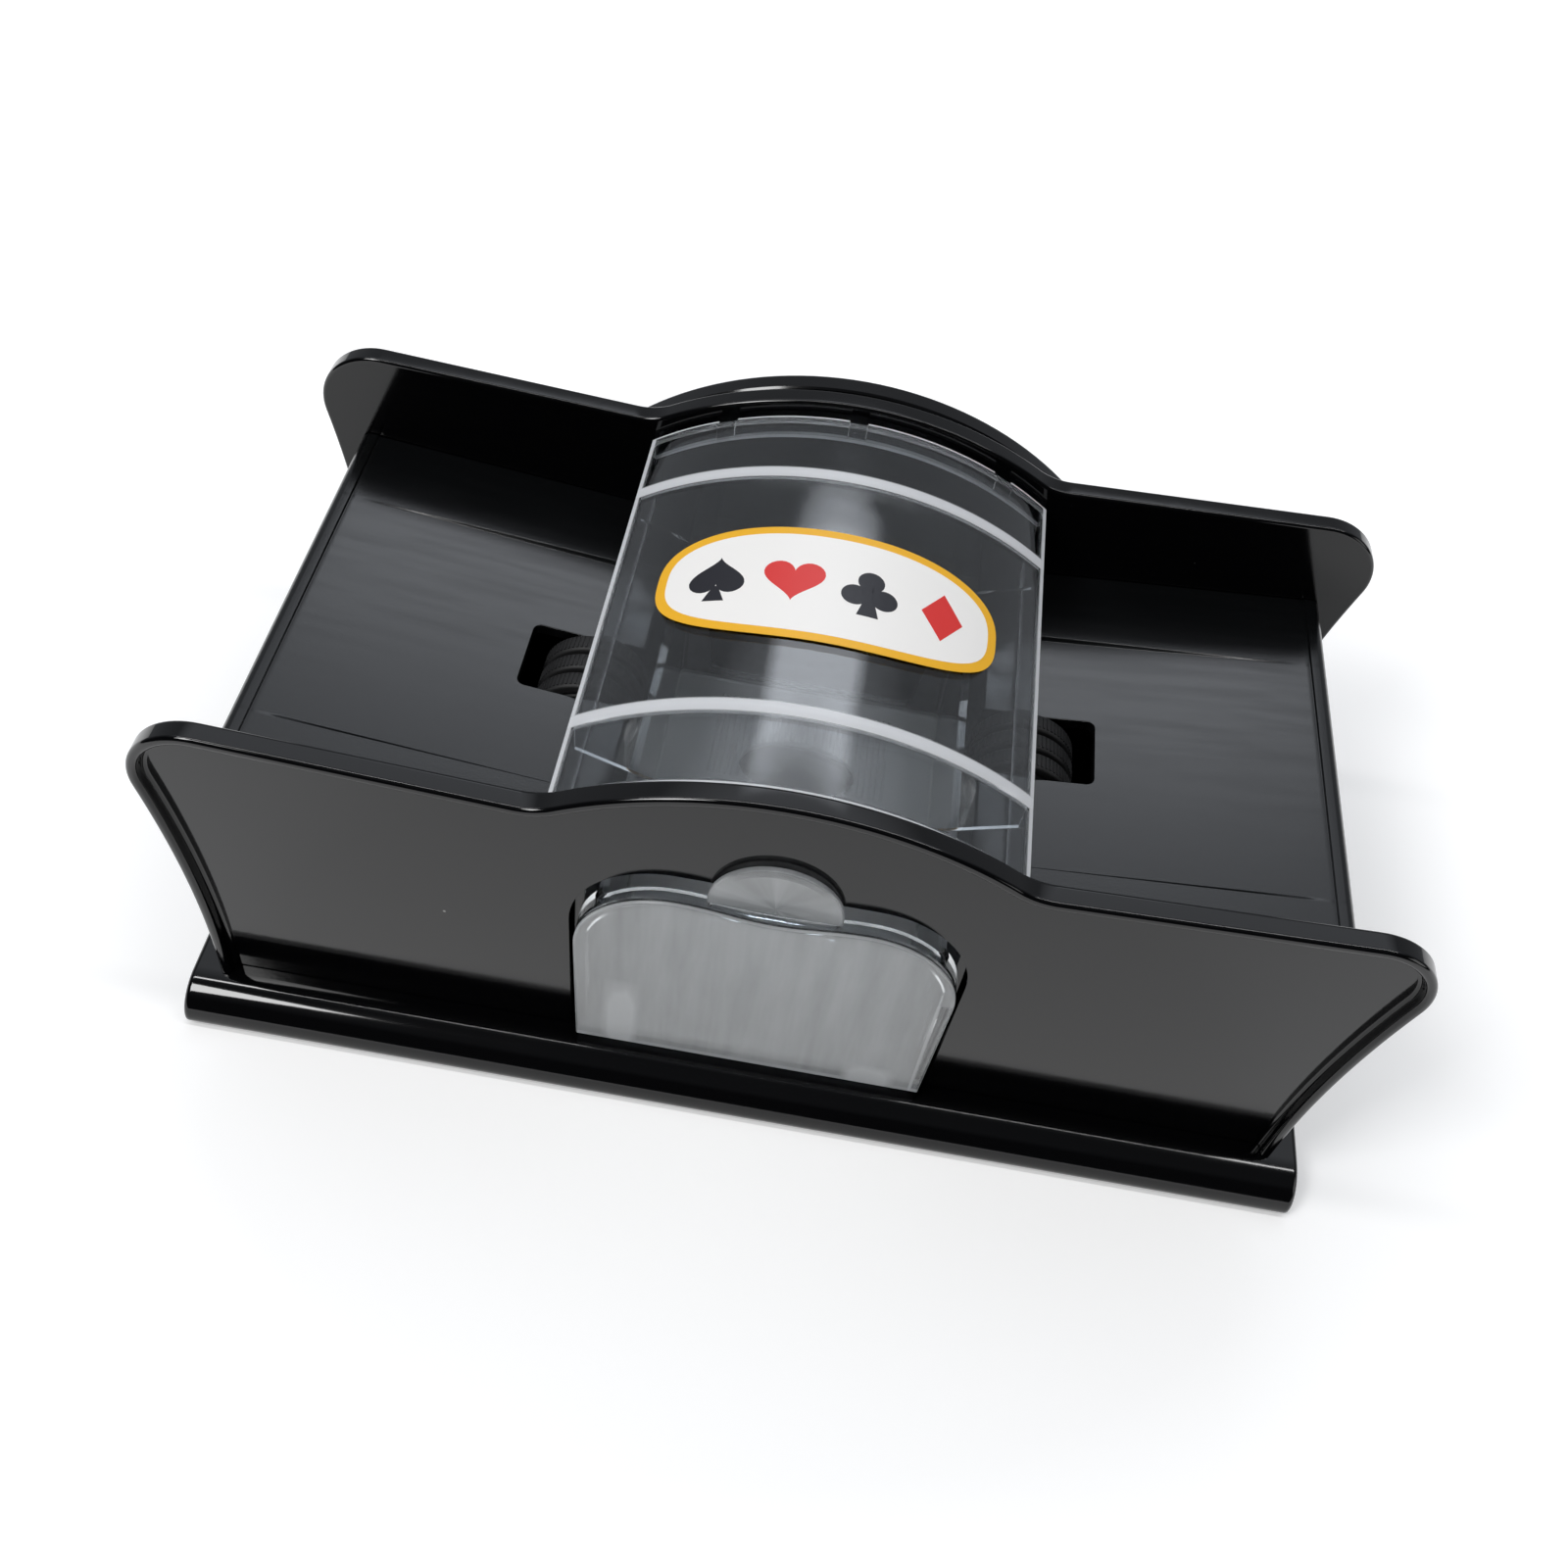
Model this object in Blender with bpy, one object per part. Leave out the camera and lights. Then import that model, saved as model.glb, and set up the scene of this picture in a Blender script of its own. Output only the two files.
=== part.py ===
"""Battery-driven card shuffler: two sloping card trays, a clear arched hood over a central card well,
a clear card drawer that pulls out at the front, and a gear train behind the back plate.

Frame: metres, +Z up, long axis along X, front towards -Y, origin on the floor at the middle of the base.
"""

import math

import bmesh
import bpy
from mathutils import Matrix, Vector

MM = 0.001
GAP = 0.3  # clearance between pieces that touch on the real object, mm

# ---- driving dimensions, in millimetres -------------------------------------------------------
BASE_HALF_X, BASE_HALF_Y = 119.9, 66.6  # base, with its rolled front and rear edges
BASE_BOTTOM, BASE_TOP = 0.8, 9.3
ROLL_Y, ROLL_Z = 57.5, 2.0  # the rolled edge starts level here, and is upright from here down
POCKET_HALF_X, POCKET_HALF_Y, POCKET_FLOOR = 106.0, 50.0, 3.0
FOOT_X, FOOT_Y, FOOT_R, FOOT_TALL = 104.0, 56.0, 6.0, 1.7
BASE_SCREW_X, BASE_SCREW_Y, BASE_SCREW_R = 72.0, 57.0, 3.2
HATCH_LOW, HATCH_HIGH = (-101.0, -27.0), (-44.0, 27.0)  # opening under the cells
DOOR_LOW_Z, DOOR_HIGH_Z = 1.0, 2.9
PLATE_IN, PLATE_OUT = 53.5, 58.3  # inner face and rim of the front and back plates, from the middle
WEB_THICK = 1.8
RIM_WALL = 2.2
PLATE_FOOT = BASE_TOP + GAP  # lower edge of the plates
FOOT_HALF_X = 113.6  # half width of a plate at its foot
FLARE_FROM = 16.0  # height at which a plate's ends start to flare
LOBE_X, LOBE_Z, LOBE_R = 106.4, 74.5, 13.6  # round corner of a plate
EDGE_SLOPE = math.radians(3.07)  # fall of a plate's top edge towards the middle
WAVE_R, WAVE_Z = 82.0, 16.1  # rise in the middle of a plate: radius and centre height
WAVE_FILLET = 14.0
TRAY_END_X = 111.6
TRAY_SLOPE = math.tan(math.radians(5.58))
TRAY_END_Z = 67.5
TRAY_SKIN = 2.2
LIP_SOFT, LIP_DROP = 0.9, 0.1  # the tray end's softened edge
WELL_HALF_X = 36.5  # card well between the trays
WALL = 2.0
CREASE_Y, CREASE_DEEP = 32.2, 1.1  # the sunk middle of a tray floor ends here, and is deepest at the well
CREASE_NEAR_X, CREASE_FAR_X = 34.0, 106.5
ROLLER_X, ROLLER_Z, ROLLER_R = 46.8, 51.5, 11.5
SHAFT_R, BUSH_R, BUSH_BORE = 2.0, 4.7, 2.1
WINDOW_NEAR_X, WINDOW_X, WINDOW_Y = 33.0, 60.8, 8.7  # roller window in a tray floor
TYRE_Y, TYRE_HALF, HUB_R, HUB_HALF = 5.4, 2.2, 9.0, 8.1
TYRE_BORE = 9.3
HOOD_HALF_X, HOOD_EAVE, HOOD_CREST = 44.3, 81.0, 95.6
HOOD_WALL, HOOD_HALF_Y, RIB_Y = 1.8, 51.8, 33.1
RIB_HALF, RIB_SIDE_Z, RIB_MIDDLE_X, RIB_MIDDLE_Z = 0.8, 74.0, 18.0, 64.5
FLANGE_DEEP, FLANGE_THICK = 4.6, 1.6
SLOT_HALF_Y, SLOT_TOP = 45.5, 63.8  # feed slot in the hood's side walls
LABEL_HALF_X, LABEL_HALF_Y = 38.0, 16.0
GEAR_MODULE, GEAR_TEETH, PINION_TEETH = 1.2, 26, 10
GEAR_Y = (56.2, 60.6)
IDLER_PLAY = 0.1  # an idler gear runs freely on its pin
COVER_R, COVER_Z, COVER_HALF_X, COVER_FOOT, COVER_BACK = 75.1, 23.0, 68.0, 20.0, 63.5
COVER_WALL = 1.6
COVER_STEP = 2.8  # its front part is this much lower, to sit inside the back plate's rim
COVER_SCREWS = ((-28.0, 82.0), (28.0, 82.0), (-34.0, 27.0), (34.0, 27.0))
MOTOR_X, MOTOR_Z, MOTOR_R = 58.0, 33.2, 12.0
MOTOR_Y = (24.0, 53.0)
BRACKET_Y = (32.0, 42.0)
DRAWER_HALF_X, DRAWER_FLOOR, DRAWER_TOP, DRAWER_BACK = 34.8, 11.6, 50.0, 47.5
CAP_FRONT, CAP_BACK, CAP_TOP, CAP_DIP = -59.4, -53.6, 65.8, 64.0
CAP_RETURN = -55.6  # its top wall runs back to here
DRAWER_WALL = 1.8
PUSH_HOLE_Y, PUSH_HOLE_R, PUSH_HOLE_FLAT = 22.0, 14.2, 0.6  # oval hole that lifts the cards out
TAB_R, TAB_Z, TAB_FOOT = 12.9, 66.0, 61.5  # thumb tab
TAB_Y = (-57.2, -55.7)
CELL_R, CELL_LENGTH, CELL_PITCH = 7.1, 50.5, 14.6  # AA cells
CELL_FIRST_X, CELL_Z = -94.4, 10.8
BUTTON_Z, BUTTON_R = 40.0, 6.0
BUTTON_TIP = TRAY_END_X + 2.8
FLANGE_R, FLANGE_X = 8.0, (TRAY_END_X - 6.9, TRAY_END_X - 4.9)  # of the button, inside the switch
SWITCH_X, SWITCH_HALF = 92.0, 9.8
WIRE_R = 0.4  # spring wire
TRAY_BOX_LOW, TRAY_BOX_HIGH = (-103.5, -31.2, 3.3), (-40.5, 31.2, 20.5)  # battery tray

GEAR_PITCH_R = GEAR_MODULE * GEAR_TEETH / 2
PINION_PITCH_R = GEAR_MODULE * PINION_TEETH / 2
IDLER_X = ROLLER_X / 3  # four equal gears in a row span the two rollers

for old in list(bpy.data.objects):
    bpy.data.objects.remove(old, do_unlink=True)

PARTS = bpy.data.collections.new("card_shuffler")
CUTTERS = bpy.data.collections.new("cutters")
for made_collection in (PARTS, CUTTERS):
    bpy.context.scene.collection.children.link(made_collection)


# ---- materials --------------------------------------------------------------------------------
def material(name, colour, roughness, metallic=0.0, alpha=1.0):
    made = bpy.data.materials.new(name)
    made.use_nodes = True
    shader = made.node_tree.nodes["Principled BSDF"]
    shader.inputs["Base Color"].default_value = (*colour, 1.0)
    shader.inputs["Roughness"].default_value = roughness
    shader.inputs["Metallic"].default_value = metallic
    shader.inputs["Alpha"].default_value = alpha
    return made


BLACK = material("black_gloss_plastic", (0.012, 0.012, 0.013), 0.12)
CLEAR = material("clear_plastic", (0.85, 0.88, 0.9), 0.05, alpha=0.3)
LABEL = material("printed_label", (0.9, 0.88, 0.85), 0.4)
RUBBER = material("black_rubber", (0.02, 0.02, 0.02), 0.7)
NYLON = material("white_nylon", (0.8, 0.79, 0.74), 0.45)
STEEL = material("bright_steel", (0.6, 0.6, 0.61), 0.25, 1.0)
BRASS = material("sintered_bronze", (0.55, 0.38, 0.2), 0.4, 1.0)
CELL = material("battery_wrap", (0.05, 0.08, 0.2), 0.3)
RED_LEAD = material("red_lead", (0.5, 0.02, 0.02), 0.45)
BLACK_LEAD = material("black_lead", (0.02, 0.02, 0.02), 0.45)


# ---- shape helpers: sizes come in millimetres, meshes are in metres ------------------------------
def place(obj, name, surface=None):
    """Names the object and files it with the parts, or with the cutters when it has no surface."""
    obj.name = name
    for used in list(obj.users_collection):
        used.objects.unlink(obj)
    if surface is None:
        CUTTERS.objects.link(obj)
        obj.hide_render = True
        obj.display_type = "WIRE"
    else:
        PARTS.objects.link(obj)
        obj.data.materials.clear()
        obj.data.materials.append(surface)
    return obj


def box(name, low, high, surface=None):
    bpy.ops.mesh.primitive_cube_add(size=1)
    obj = bpy.context.active_object
    size = [(b - a) * MM for a, b in zip(low, high)]
    obj.data.transform(Matrix.Diagonal((*size, 1)))
    obj.location = [(a + b) / 2 * MM for a, b in zip(low, high)]
    return place(obj, name, surface)


def rod(name, radius, centre, span, axis="Y", surface=None, sides=20):
    """A cylinder of this radius along an axis; span is its two ends on that axis."""
    bpy.ops.mesh.primitive_cylinder_add(
        vertices=sides, radius=radius * MM, depth=(span[1] - span[0]) * MM
    )
    obj = bpy.context.active_object
    if axis != "Z":
        obj.data.transform(Matrix.Rotation(math.pi / 2, 4, "Y" if axis == "X" else "X"))
    spot = list(centre)
    spot.insert("XYZ".index(axis), (span[0] + span[1]) / 2)
    obj.location = [v * MM for v in spot]
    return place(obj, name, surface)


def prism(name, outline, span, axis="Y", surface=None):
    """A flat outline made solid: (x, z) points between two y, or (y, z) points between two x."""
    curve = bpy.data.curves.new(name, "CURVE")
    curve.dimensions = "2D"
    curve.fill_mode = "BOTH"
    curve.extrude = (span[1] - span[0]) / 2 * MM
    line = curve.splines.new("POLY")
    line.points.add(len(outline) - 1)
    line.use_cyclic_u = True
    for point, (u, v) in zip(line.points, outline):
        point.co = (u * MM, v * MM, 0, 1)
    drawn = bpy.data.objects.new(name, curve)
    bpy.context.scene.collection.objects.link(drawn)
    bpy.context.view_layer.update()
    mesh = bpy.data.meshes.new_from_object(drawn.evaluated_get(bpy.context.evaluated_depsgraph_get()))
    bpy.data.objects.remove(drawn)
    upright = Matrix.Rotation(math.pi / 2, 4, "X")
    mesh.transform(upright if axis == "Y" else Matrix.Rotation(math.pi / 2, 4, "Z") @ upright)
    weld(mesh)
    obj = bpy.data.objects.new(name, mesh)
    bpy.context.scene.collection.objects.link(obj)
    middle = (span[0] + span[1]) / 2 * MM
    obj.location = (0, middle, 0) if axis == "Y" else (middle, 0, 0)
    return place(obj, name, surface)


def weld(mesh):
    edited = bmesh.new()
    edited.from_mesh(mesh)
    bmesh.ops.remove_doubles(edited, verts=edited.verts, dist=1e-6)
    bmesh.ops.recalc_face_normals(edited, faces=edited.faces)
    edited.to_mesh(mesh)
    edited.free()


def combine(obj, other, operation):
    """One Boolean step, applied: the other object is used up."""
    step = obj.modifiers.new(operation, "BOOLEAN")
    step.operation = operation
    step.solver = "EXACT"
    step.object = other
    bpy.context.view_layer.update()
    mesh = bpy.data.meshes.new_from_object(obj.evaluated_get(bpy.context.evaluated_depsgraph_get()))
    obj.modifiers.remove(step)
    old = obj.data
    obj.data = mesh
    bpy.data.meshes.remove(old)
    bpy.data.objects.remove(other)
    return obj


def cut(obj, other):
    return combine(obj, other, "DIFFERENCE")


def join(obj, other):
    return combine(obj, other, "UNION")


def ring(name, radius, bore, centre, span, axis, surface, sides=20):
    outer = rod(name, radius, centre, span, axis, surface, sides)
    through = (span[0] - 1, span[1] + 1)
    return smooth(cut(outer, rod(name + "_bore", bore, centre, through, axis, None, sides)))


def smooth(obj):
    obj.data.shade_smooth()
    obj.data.set_sharp_from_angle(angle=math.radians(35))
    return obj


def wire(name, points, radius, surface, steps=4):
    """A round lead along a smooth curve through the points."""
    spots = [Vector(p) for p in points]
    padded = [2 * spots[0] - spots[1], *spots, 2 * spots[-1] - spots[-2]]
    route = []
    for p0, p1, p2, p3 in zip(padded, padded[1:], padded[2:], padded[3:]):
        for i in range(steps):
            t = i / steps
            route.append(
                0.5 * (2 * p1 + (p2 - p0) * t + (2 * p0 - 5 * p1 + 4 * p2 - p3) * t**2
                       + (3 * p1 - p0 - 3 * p2 + p3) * t**3)
            )
    route.append(spots[-1])
    return tube(name, route, radius, surface)


def tube(name, route, radius, surface, resolution=1):
    curve = bpy.data.curves.new(name, "CURVE")
    curve.dimensions = "3D"
    curve.bevel_depth = radius * MM
    curve.bevel_resolution = resolution
    curve.use_fill_caps = True
    line = curve.splines.new("POLY")
    line.points.add(len(route) - 1)
    for point, spot in zip(line.points, route):
        point.co = (*[v * MM for v in spot], 1)
    obj = bpy.data.objects.new(name, curve)
    bpy.context.scene.collection.objects.link(obj)
    return place(obj, name, surface)


def arc(cx, cz, radius, start, end, steps):
    """Points on a circle, angles in degrees."""
    turn = [math.radians(start + (end - start) * i / steps) for i in range(steps + 1)]
    return [(cx + radius * math.cos(t), cz + radius * math.sin(t)) for t in turn]


def mirrored(right_half):
    """A right-hand outline that runs from bottom to top, closed by its mirror image."""
    left = [(-x, z) for x, z in reversed(right_half) if x > 1e-6]
    return right_half + left


# ---- outlines ---------------------------------------------------------------------------------
def plate_outline(inset=0.0, foot=PLATE_FOOT):
    """Front and back plates: flared ends, round lobes, a falling top edge and a rise in the middle."""
    rise, across = FLARE_FROM - LOBE_Z, FOOT_HALF_X - LOBE_X
    flare_r = (rise**2 + across**2 - LOBE_R**2) / (2 * (LOBE_R - across))
    flare_x = FOOT_HALF_X + flare_r
    tangent = math.degrees(math.atan2(LOBE_Z - FLARE_FROM, LOBE_X - flare_x))
    ends = arc(flare_x, FLARE_FROM, flare_r + inset, 180, tangent, 8)
    edge_normal = math.degrees(EDGE_SLOPE) + 90
    lobe = arc(LOBE_X, LOBE_Z, LOBE_R - inset, tangent - 180, edge_normal, 10)
    normal = Vector((math.cos(math.radians(edge_normal)), math.sin(math.radians(edge_normal))))
    along = Vector((-normal.y, normal.x))
    start = Vector((LOBE_X, LOBE_Z)) + normal * (LOBE_R + WAVE_FILLET) - Vector((0, WAVE_Z))
    half = start.dot(along)
    run = -half - math.sqrt(half**2 - start.length_squared + (WAVE_R + WAVE_FILLET) ** 2)
    fillet = start + along * run + Vector((0, WAVE_Z))
    meet = math.degrees(math.atan2(fillet.y - WAVE_Z, fillet.x))
    sweep = arc(fillet.x, fillet.y, WAVE_FILLET + inset, edge_normal + 180, meet + 180, 5)
    wave = arc(0, WAVE_Z, WAVE_R - inset, meet, 90, 8)
    return mirrored([(FOOT_HALF_X - inset, foot), *ends, *lobe, *sweep, *wave[1:]])


def cap_outline(inset=0.0):
    """Front of the drawer: round shoulders and a shallow dip under the thumb tab."""
    side, corner = 37.6 - inset, 19.0
    shoulder = arc(side + inset - corner, CAP_TOP - corner, corner - inset, 0, 90, 6)
    dip = [(x, CAP_TOP - inset - (CAP_TOP - CAP_DIP) * math.cos(math.pi * x / 36) ** 2)
           for x in (15.0, 12.0, 9.0, 6.0, 3.0, 0.0)]
    return mirrored([(side - 1.0, DRAWER_FLOOR + 0.8 + inset), *shoulder, (18.0, CAP_TOP - inset), *dip])


def window_outline():
    """Opening in the front plate for the drawer."""
    side, top, corner = 39.2, 69.3, 20.0
    return mirrored([(side - 0.8, 11.0), *arc(side - corner, top - corner, corner, 0, 90, 6)])


def hood_arc(radius_change, steps=16):
    rise = HOOD_CREST - HOOD_EAVE
    radius = (HOOD_HALF_X**2 + rise**2) / (2 * rise)
    centre = HOOD_CREST - radius
    radius += radius_change
    half = HOOD_HALF_X + (radius_change if radius_change < 0 else 0)
    edge = math.degrees(math.acos(half / radius))
    return arc(0, centre, radius, edge, 180 - edge, steps)


def tray_z(x):
    """Height of a tray's floor."""
    return TRAY_END_Z - (TRAY_END_X - x) * TRAY_SLOPE


# ---- base, feet and battery door -------------------------------------------------------------
def make_base():
    roll = [(ROLL_Y + (BASE_HALF_Y - ROLL_Y) * math.cos(t), ROLL_Z + (BASE_TOP - ROLL_Z) * math.sin(t))
            for t in (math.pi / 2 * i / 6 for i in range(7))]
    base = prism("base_cover", mirrored([(BASE_HALF_Y - 0.4, BASE_BOTTOM), *roll]),
                 (-BASE_HALF_X, BASE_HALF_X), "X", BLACK)
    cut(base, box("base_pocket", (-POCKET_HALF_X, -POCKET_HALF_Y, POCKET_FLOOR),
                  (POCKET_HALF_X, POCKET_HALF_Y, 20)))
    cut(base, box("battery_hatch", (*HATCH_LOW, 0), (*HATCH_HIGH, 5)))
    for i, (sx, sy) in enumerate(((-1, -1), (1, -1), (-1, 1), (1, 1)), 1):
        spot = (FOOT_X * sx, FOOT_Y * sy)
        cut(base, rod("foot_pocket", FOOT_R + GAP, spot, (-1, FOOT_TALL + GAP), "Z"))
        smooth(rod(f"foot_{i}", FOOT_R, spot, (0, FOOT_TALL), "Z", RUBBER))
        screw_spot = (BASE_SCREW_X * sx, BASE_SCREW_Y * sy)
        cut(base, rod("screw_pocket", BASE_SCREW_R + 0.4, screw_spot, (-1, 3.0), "Z"))
        smooth(rod(f"base_screw_{i}", BASE_SCREW_R, screw_spot, (1.2, 2.7), "Z", STEEL, 16))
    door = box("battery_door", (*[v + GAP for v in HATCH_LOW], DOOR_LOW_Z),
               (*[v - GAP for v in HATCH_HIGH], DOOR_HIGH_Z), BLACK)
    cut(door, box("finger_recess", (-80, 18, 0), (-65, 23, 1.8)))


# ---- chassis: trays, end walls and card well in one moulding ------------------------------------
def make_chassis():
    foot, deep = BASE_TOP + GAP, PLATE_IN - GAP
    inner_x, outer_x = WELL_HALF_X + WALL, TRAY_END_X - WALL
    section = [
        (inner_x, foot), (inner_x, tray_z(inner_x) - TRAY_SKIN), (outer_x, tray_z(outer_x) - TRAY_SKIN),
        (outer_x, foot), (TRAY_END_X, foot), (TRAY_END_X, TRAY_END_Z - LIP_SOFT),
        (TRAY_END_X - LIP_SOFT, TRAY_END_Z - LIP_DROP), (WELL_HALF_X, tray_z(WELL_HALF_X)),
        (WELL_HALF_X, foot + 1.6),
    ]
    chassis = prism("chassis", mirrored(section), (-deep, deep), "Y", BLACK)
    join(chassis, box("well_back", (-inner_x + 0.9, deep - 2.3, foot + 0.8), (inner_x - 0.9, deep - 0.3, 58)))
    over = 80
    sink = [(CREASE_FAR_X, tray_z(CREASE_FAR_X) + 0.02), (CREASE_NEAR_X, tray_z(CREASE_NEAR_X) - CREASE_DEEP),
            (CREASE_NEAR_X, over), (CREASE_FAR_X, over)]
    for side in (-1, 1):
        ends = sorted((side * WINDOW_NEAR_X, side * WINDOW_X))
        cut(chassis, box("roller_window", (ends[0], -WINDOW_Y, 39), (ends[1], WINDOW_Y, 75)))
        sunk = [(side * x, z) for x, z in sink]
        cut(chassis, prism("tray_sink", sunk if side > 0 else sunk[::-1], (-CREASE_Y, CREASE_Y)))
    cut(chassis, rod("button_hole", BUTTON_R + 0.4, (0, BUTTON_Z), (105, 115), "X"))


# ---- front and back plates -------------------------------------------------------------------
def make_plate(name, side):
    """A plate with its rim turned outwards and a bearing boss for each roller shaft inside."""
    ends = sorted((side * PLATE_IN, side * PLATE_OUT))
    plate = prism(name, plate_outline(), ends, "Y", BLACK)
    web = PLATE_IN + WEB_THICK
    cut(plate, prism("recess", plate_outline(RIM_WALL, 0.0), sorted((side * web, side * (PLATE_OUT + 5)))))
    for x in (-ROLLER_X, ROLLER_X):
        boss_ends = sorted((side * (PLATE_IN - 3.3), side * (PLATE_IN + 0.9)))
        join(plate, rod("boss", 6.4, (x, ROLLER_Z), boss_ends))
        socket_out = PLATE_IN - 0.05 if side < 0 else web + 2
        cut(plate, rod("socket", BUSH_R + GAP, (x, ROLLER_Z), sorted((side * 45, side * socket_out))))
    return plate


def make_plates():
    front = make_plate("front_plate", -1)
    cut(front, prism("drawer_window", window_outline(), (-70, -50)))
    back = make_plate("back_plate", 1)
    web = PLATE_IN + WEB_THICK
    for x, z in COVER_SCREWS:
        join(back, rod("screw_boss", 3.2, (x, z), (web - 0.9, 61.5), "Y", None, 16))
        cut(back, rod("screw_pilot", 1.7, (x, z), (web + 0.5, 63), "Y", None, 16))
    for x in (-IDLER_X, IDLER_X):
        cut(back, rod("pin_hole", SHAFT_R + GAP, (x, ROLLER_Z), (50, 60)))
    cut(back, rod("motor_hole", 3.5, (MOTOR_X, MOTOR_Z), (50, 60)))


def cover_outline(inset=0.0, drop=0.0):
    """An arch on straight sides; drop lowers the arch and leaves the foot where it is."""
    half = COVER_HALF_X - inset
    edge = math.degrees(math.acos(half / (COVER_R - inset)))
    top = arc(0, COVER_Z - drop, COVER_R - inset, edge, 90, 10)
    return mirrored([(half - 5, COVER_FOOT + inset), (half, COVER_FOOT + inset + 5), *top])


def make_gear_cover():
    front = PLATE_IN + WEB_THICK + GAP
    cover = prism("gear_cover", cover_outline(), (PLATE_OUT + GAP, COVER_BACK), "Y", BLACK)
    join(cover, prism("cover_step", cover_outline(0.2, COVER_STEP), (front, PLATE_OUT + 1.5)))
    hollow = cover_outline(COVER_WALL, COVER_STEP)
    cut(cover, prism("cover_hollow", hollow, (front - 5, COVER_BACK - COVER_WALL)))
    for i, (x, z) in enumerate(COVER_SCREWS, 1):
        cut(cover, rod("screw_hole", 1.7, (x, z), (55, 70), "Y", None, 16))
        screw = rod(f"cover_screw_{i}", 2.9, (x, z), (COVER_BACK + GAP, COVER_BACK + 1.8), "Y", STEEL, 16)
        smooth(join(screw, rod("shank", 1.3, (x, z), (57, COVER_BACK + 1), "Y", None, 16)))


# ---- clear hood and its label --------------------------------------------------------------------
def make_hood():
    top, under = hood_arc(0), hood_arc(-HOOD_WALL)
    foot = tray_z(HOOD_HALF_X) + GAP
    inner = HOOD_HALF_X - HOOD_WALL
    shell = [(HOOD_HALF_X, foot), *top, (-HOOD_HALF_X, foot), (-inner, foot), *under[::-1], (inner, foot)]
    hood = prism("hood", shell, (-HOOD_HALF_Y, HOOD_HALF_Y), "Y", CLEAR)
    middle = hood_arc(-HOOD_WALL / 2)
    side = HOOD_HALF_X - HOOD_WALL / 2
    web = [*middle, (-side, RIB_SIDE_Z), (-RIB_MIDDLE_X, RIB_MIDDLE_Z), (RIB_MIDDLE_X, RIB_MIDDLE_Z),
           (side, RIB_SIDE_Z)]
    for y in (-RIB_Y, RIB_Y):
        join(hood, prism("rib", web, (y - RIB_HALF, y + RIB_HALF)))
    flange = [*middle, *[(x * 0.985, z - FLANGE_DEEP) for x, z in middle[::-1]]]
    for y in (-HOOD_HALF_Y, HOOD_HALF_Y - FLANGE_THICK):
        join(hood, prism("flange", flange, (y, y + FLANGE_THICK)))
    cut(hood, box("feed_slot", (-60, -SLOT_HALF_Y, 55), (60, SLOT_HALF_Y, SLOT_TOP)))
    over, face = hood_arc(0.6), hood_arc(0.3)
    label = [p for p in [*over, *face[::-1]] if abs(p[0]) < LABEL_HALF_X]
    smooth(prism("hood_label", label, (-LABEL_HALF_Y, LABEL_HALF_Y), "Y", LABEL))


# ---- clear card drawer -----------------------------------------------------------------------
def make_drawer():
    drawer = box("card_drawer", (-DRAWER_HALF_X, CAP_BACK - 1.4, DRAWER_FLOOR),
                 (DRAWER_HALF_X, DRAWER_BACK, DRAWER_TOP), CLEAR)
    join(drawer, prism("cap", cap_outline(), (CAP_FRONT, CAP_BACK)))
    inside, floor = DRAWER_HALF_X - DRAWER_WALL, DRAWER_FLOOR + DRAWER_WALL
    front = CAP_FRONT + 2.0
    cut(drawer, prism("cap_hollow", cap_outline(2.0), (front, CAP_BACK + 2)))
    cut(drawer, box("card_space", (-inside, CAP_RETURN, floor), (inside, DRAWER_BACK - DRAWER_WALL, 70)))
    notch = [(22, floor + 3), (27, floor + 6), (30, 60), (-30, 60), (-27, floor + 6), (-22, floor + 3)]
    cut(drawer, prism("back_notch", notch, (DRAWER_BACK - 4, DRAWER_BACK + 4)))
    hole = rod("push_hole", PUSH_HOLE_R, (0, PUSH_HOLE_Y), (5, 20), "Z")
    hole.data.transform(Matrix.Diagonal((1, PUSH_HOLE_FLAT, 1, 1)))
    cut(drawer, hole)
    tab = rod("thumb_tab", TAB_R, (0, TAB_Z), TAB_Y)
    cut(tab, box("tab_foot", (-20, -60, 40), (20, -50, TAB_FOOT)))
    join(drawer, tab)


# ---- gears, shafts and rollers ---------------------------------------------------------------
def gear_outline(teeth, phase):
    """Trapezoid teeth; phase is the angle of one tooth's middle, in radians."""
    pitch_r = GEAR_MODULE * teeth / 2
    step = 2 * math.pi / teeth
    corners = ((-0.29, -1.2), (-0.13, 0.95), (0.13, 0.95), (0.29, -1.2))
    return [((pitch_r + GEAR_MODULE * rise) * math.cos(phase + (i + across) * step),
             (pitch_r + GEAR_MODULE * rise) * math.sin(phase + (i + across) * step))
            for i in range(teeth) for across, rise in corners]


def meshed_phase(phase, teeth, direction, other_teeth):
    """Phase of a gear whose gap meets the first gear's tooth across the line of centres."""
    step = 2 * math.pi / teeth
    offset = (phase - direction) % step
    return direction + math.pi - offset * teeth / other_teeth + math.pi / other_teeth


def gear_wheel(name, teeth, phase, x, z):
    """A toothed disc whose origin is on its own axis."""
    made = prism(name, gear_outline(teeth, phase), GEAR_Y, "Y", NYLON)
    made.location.x, made.location.z = x * MM, z * MM
    return made


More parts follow.
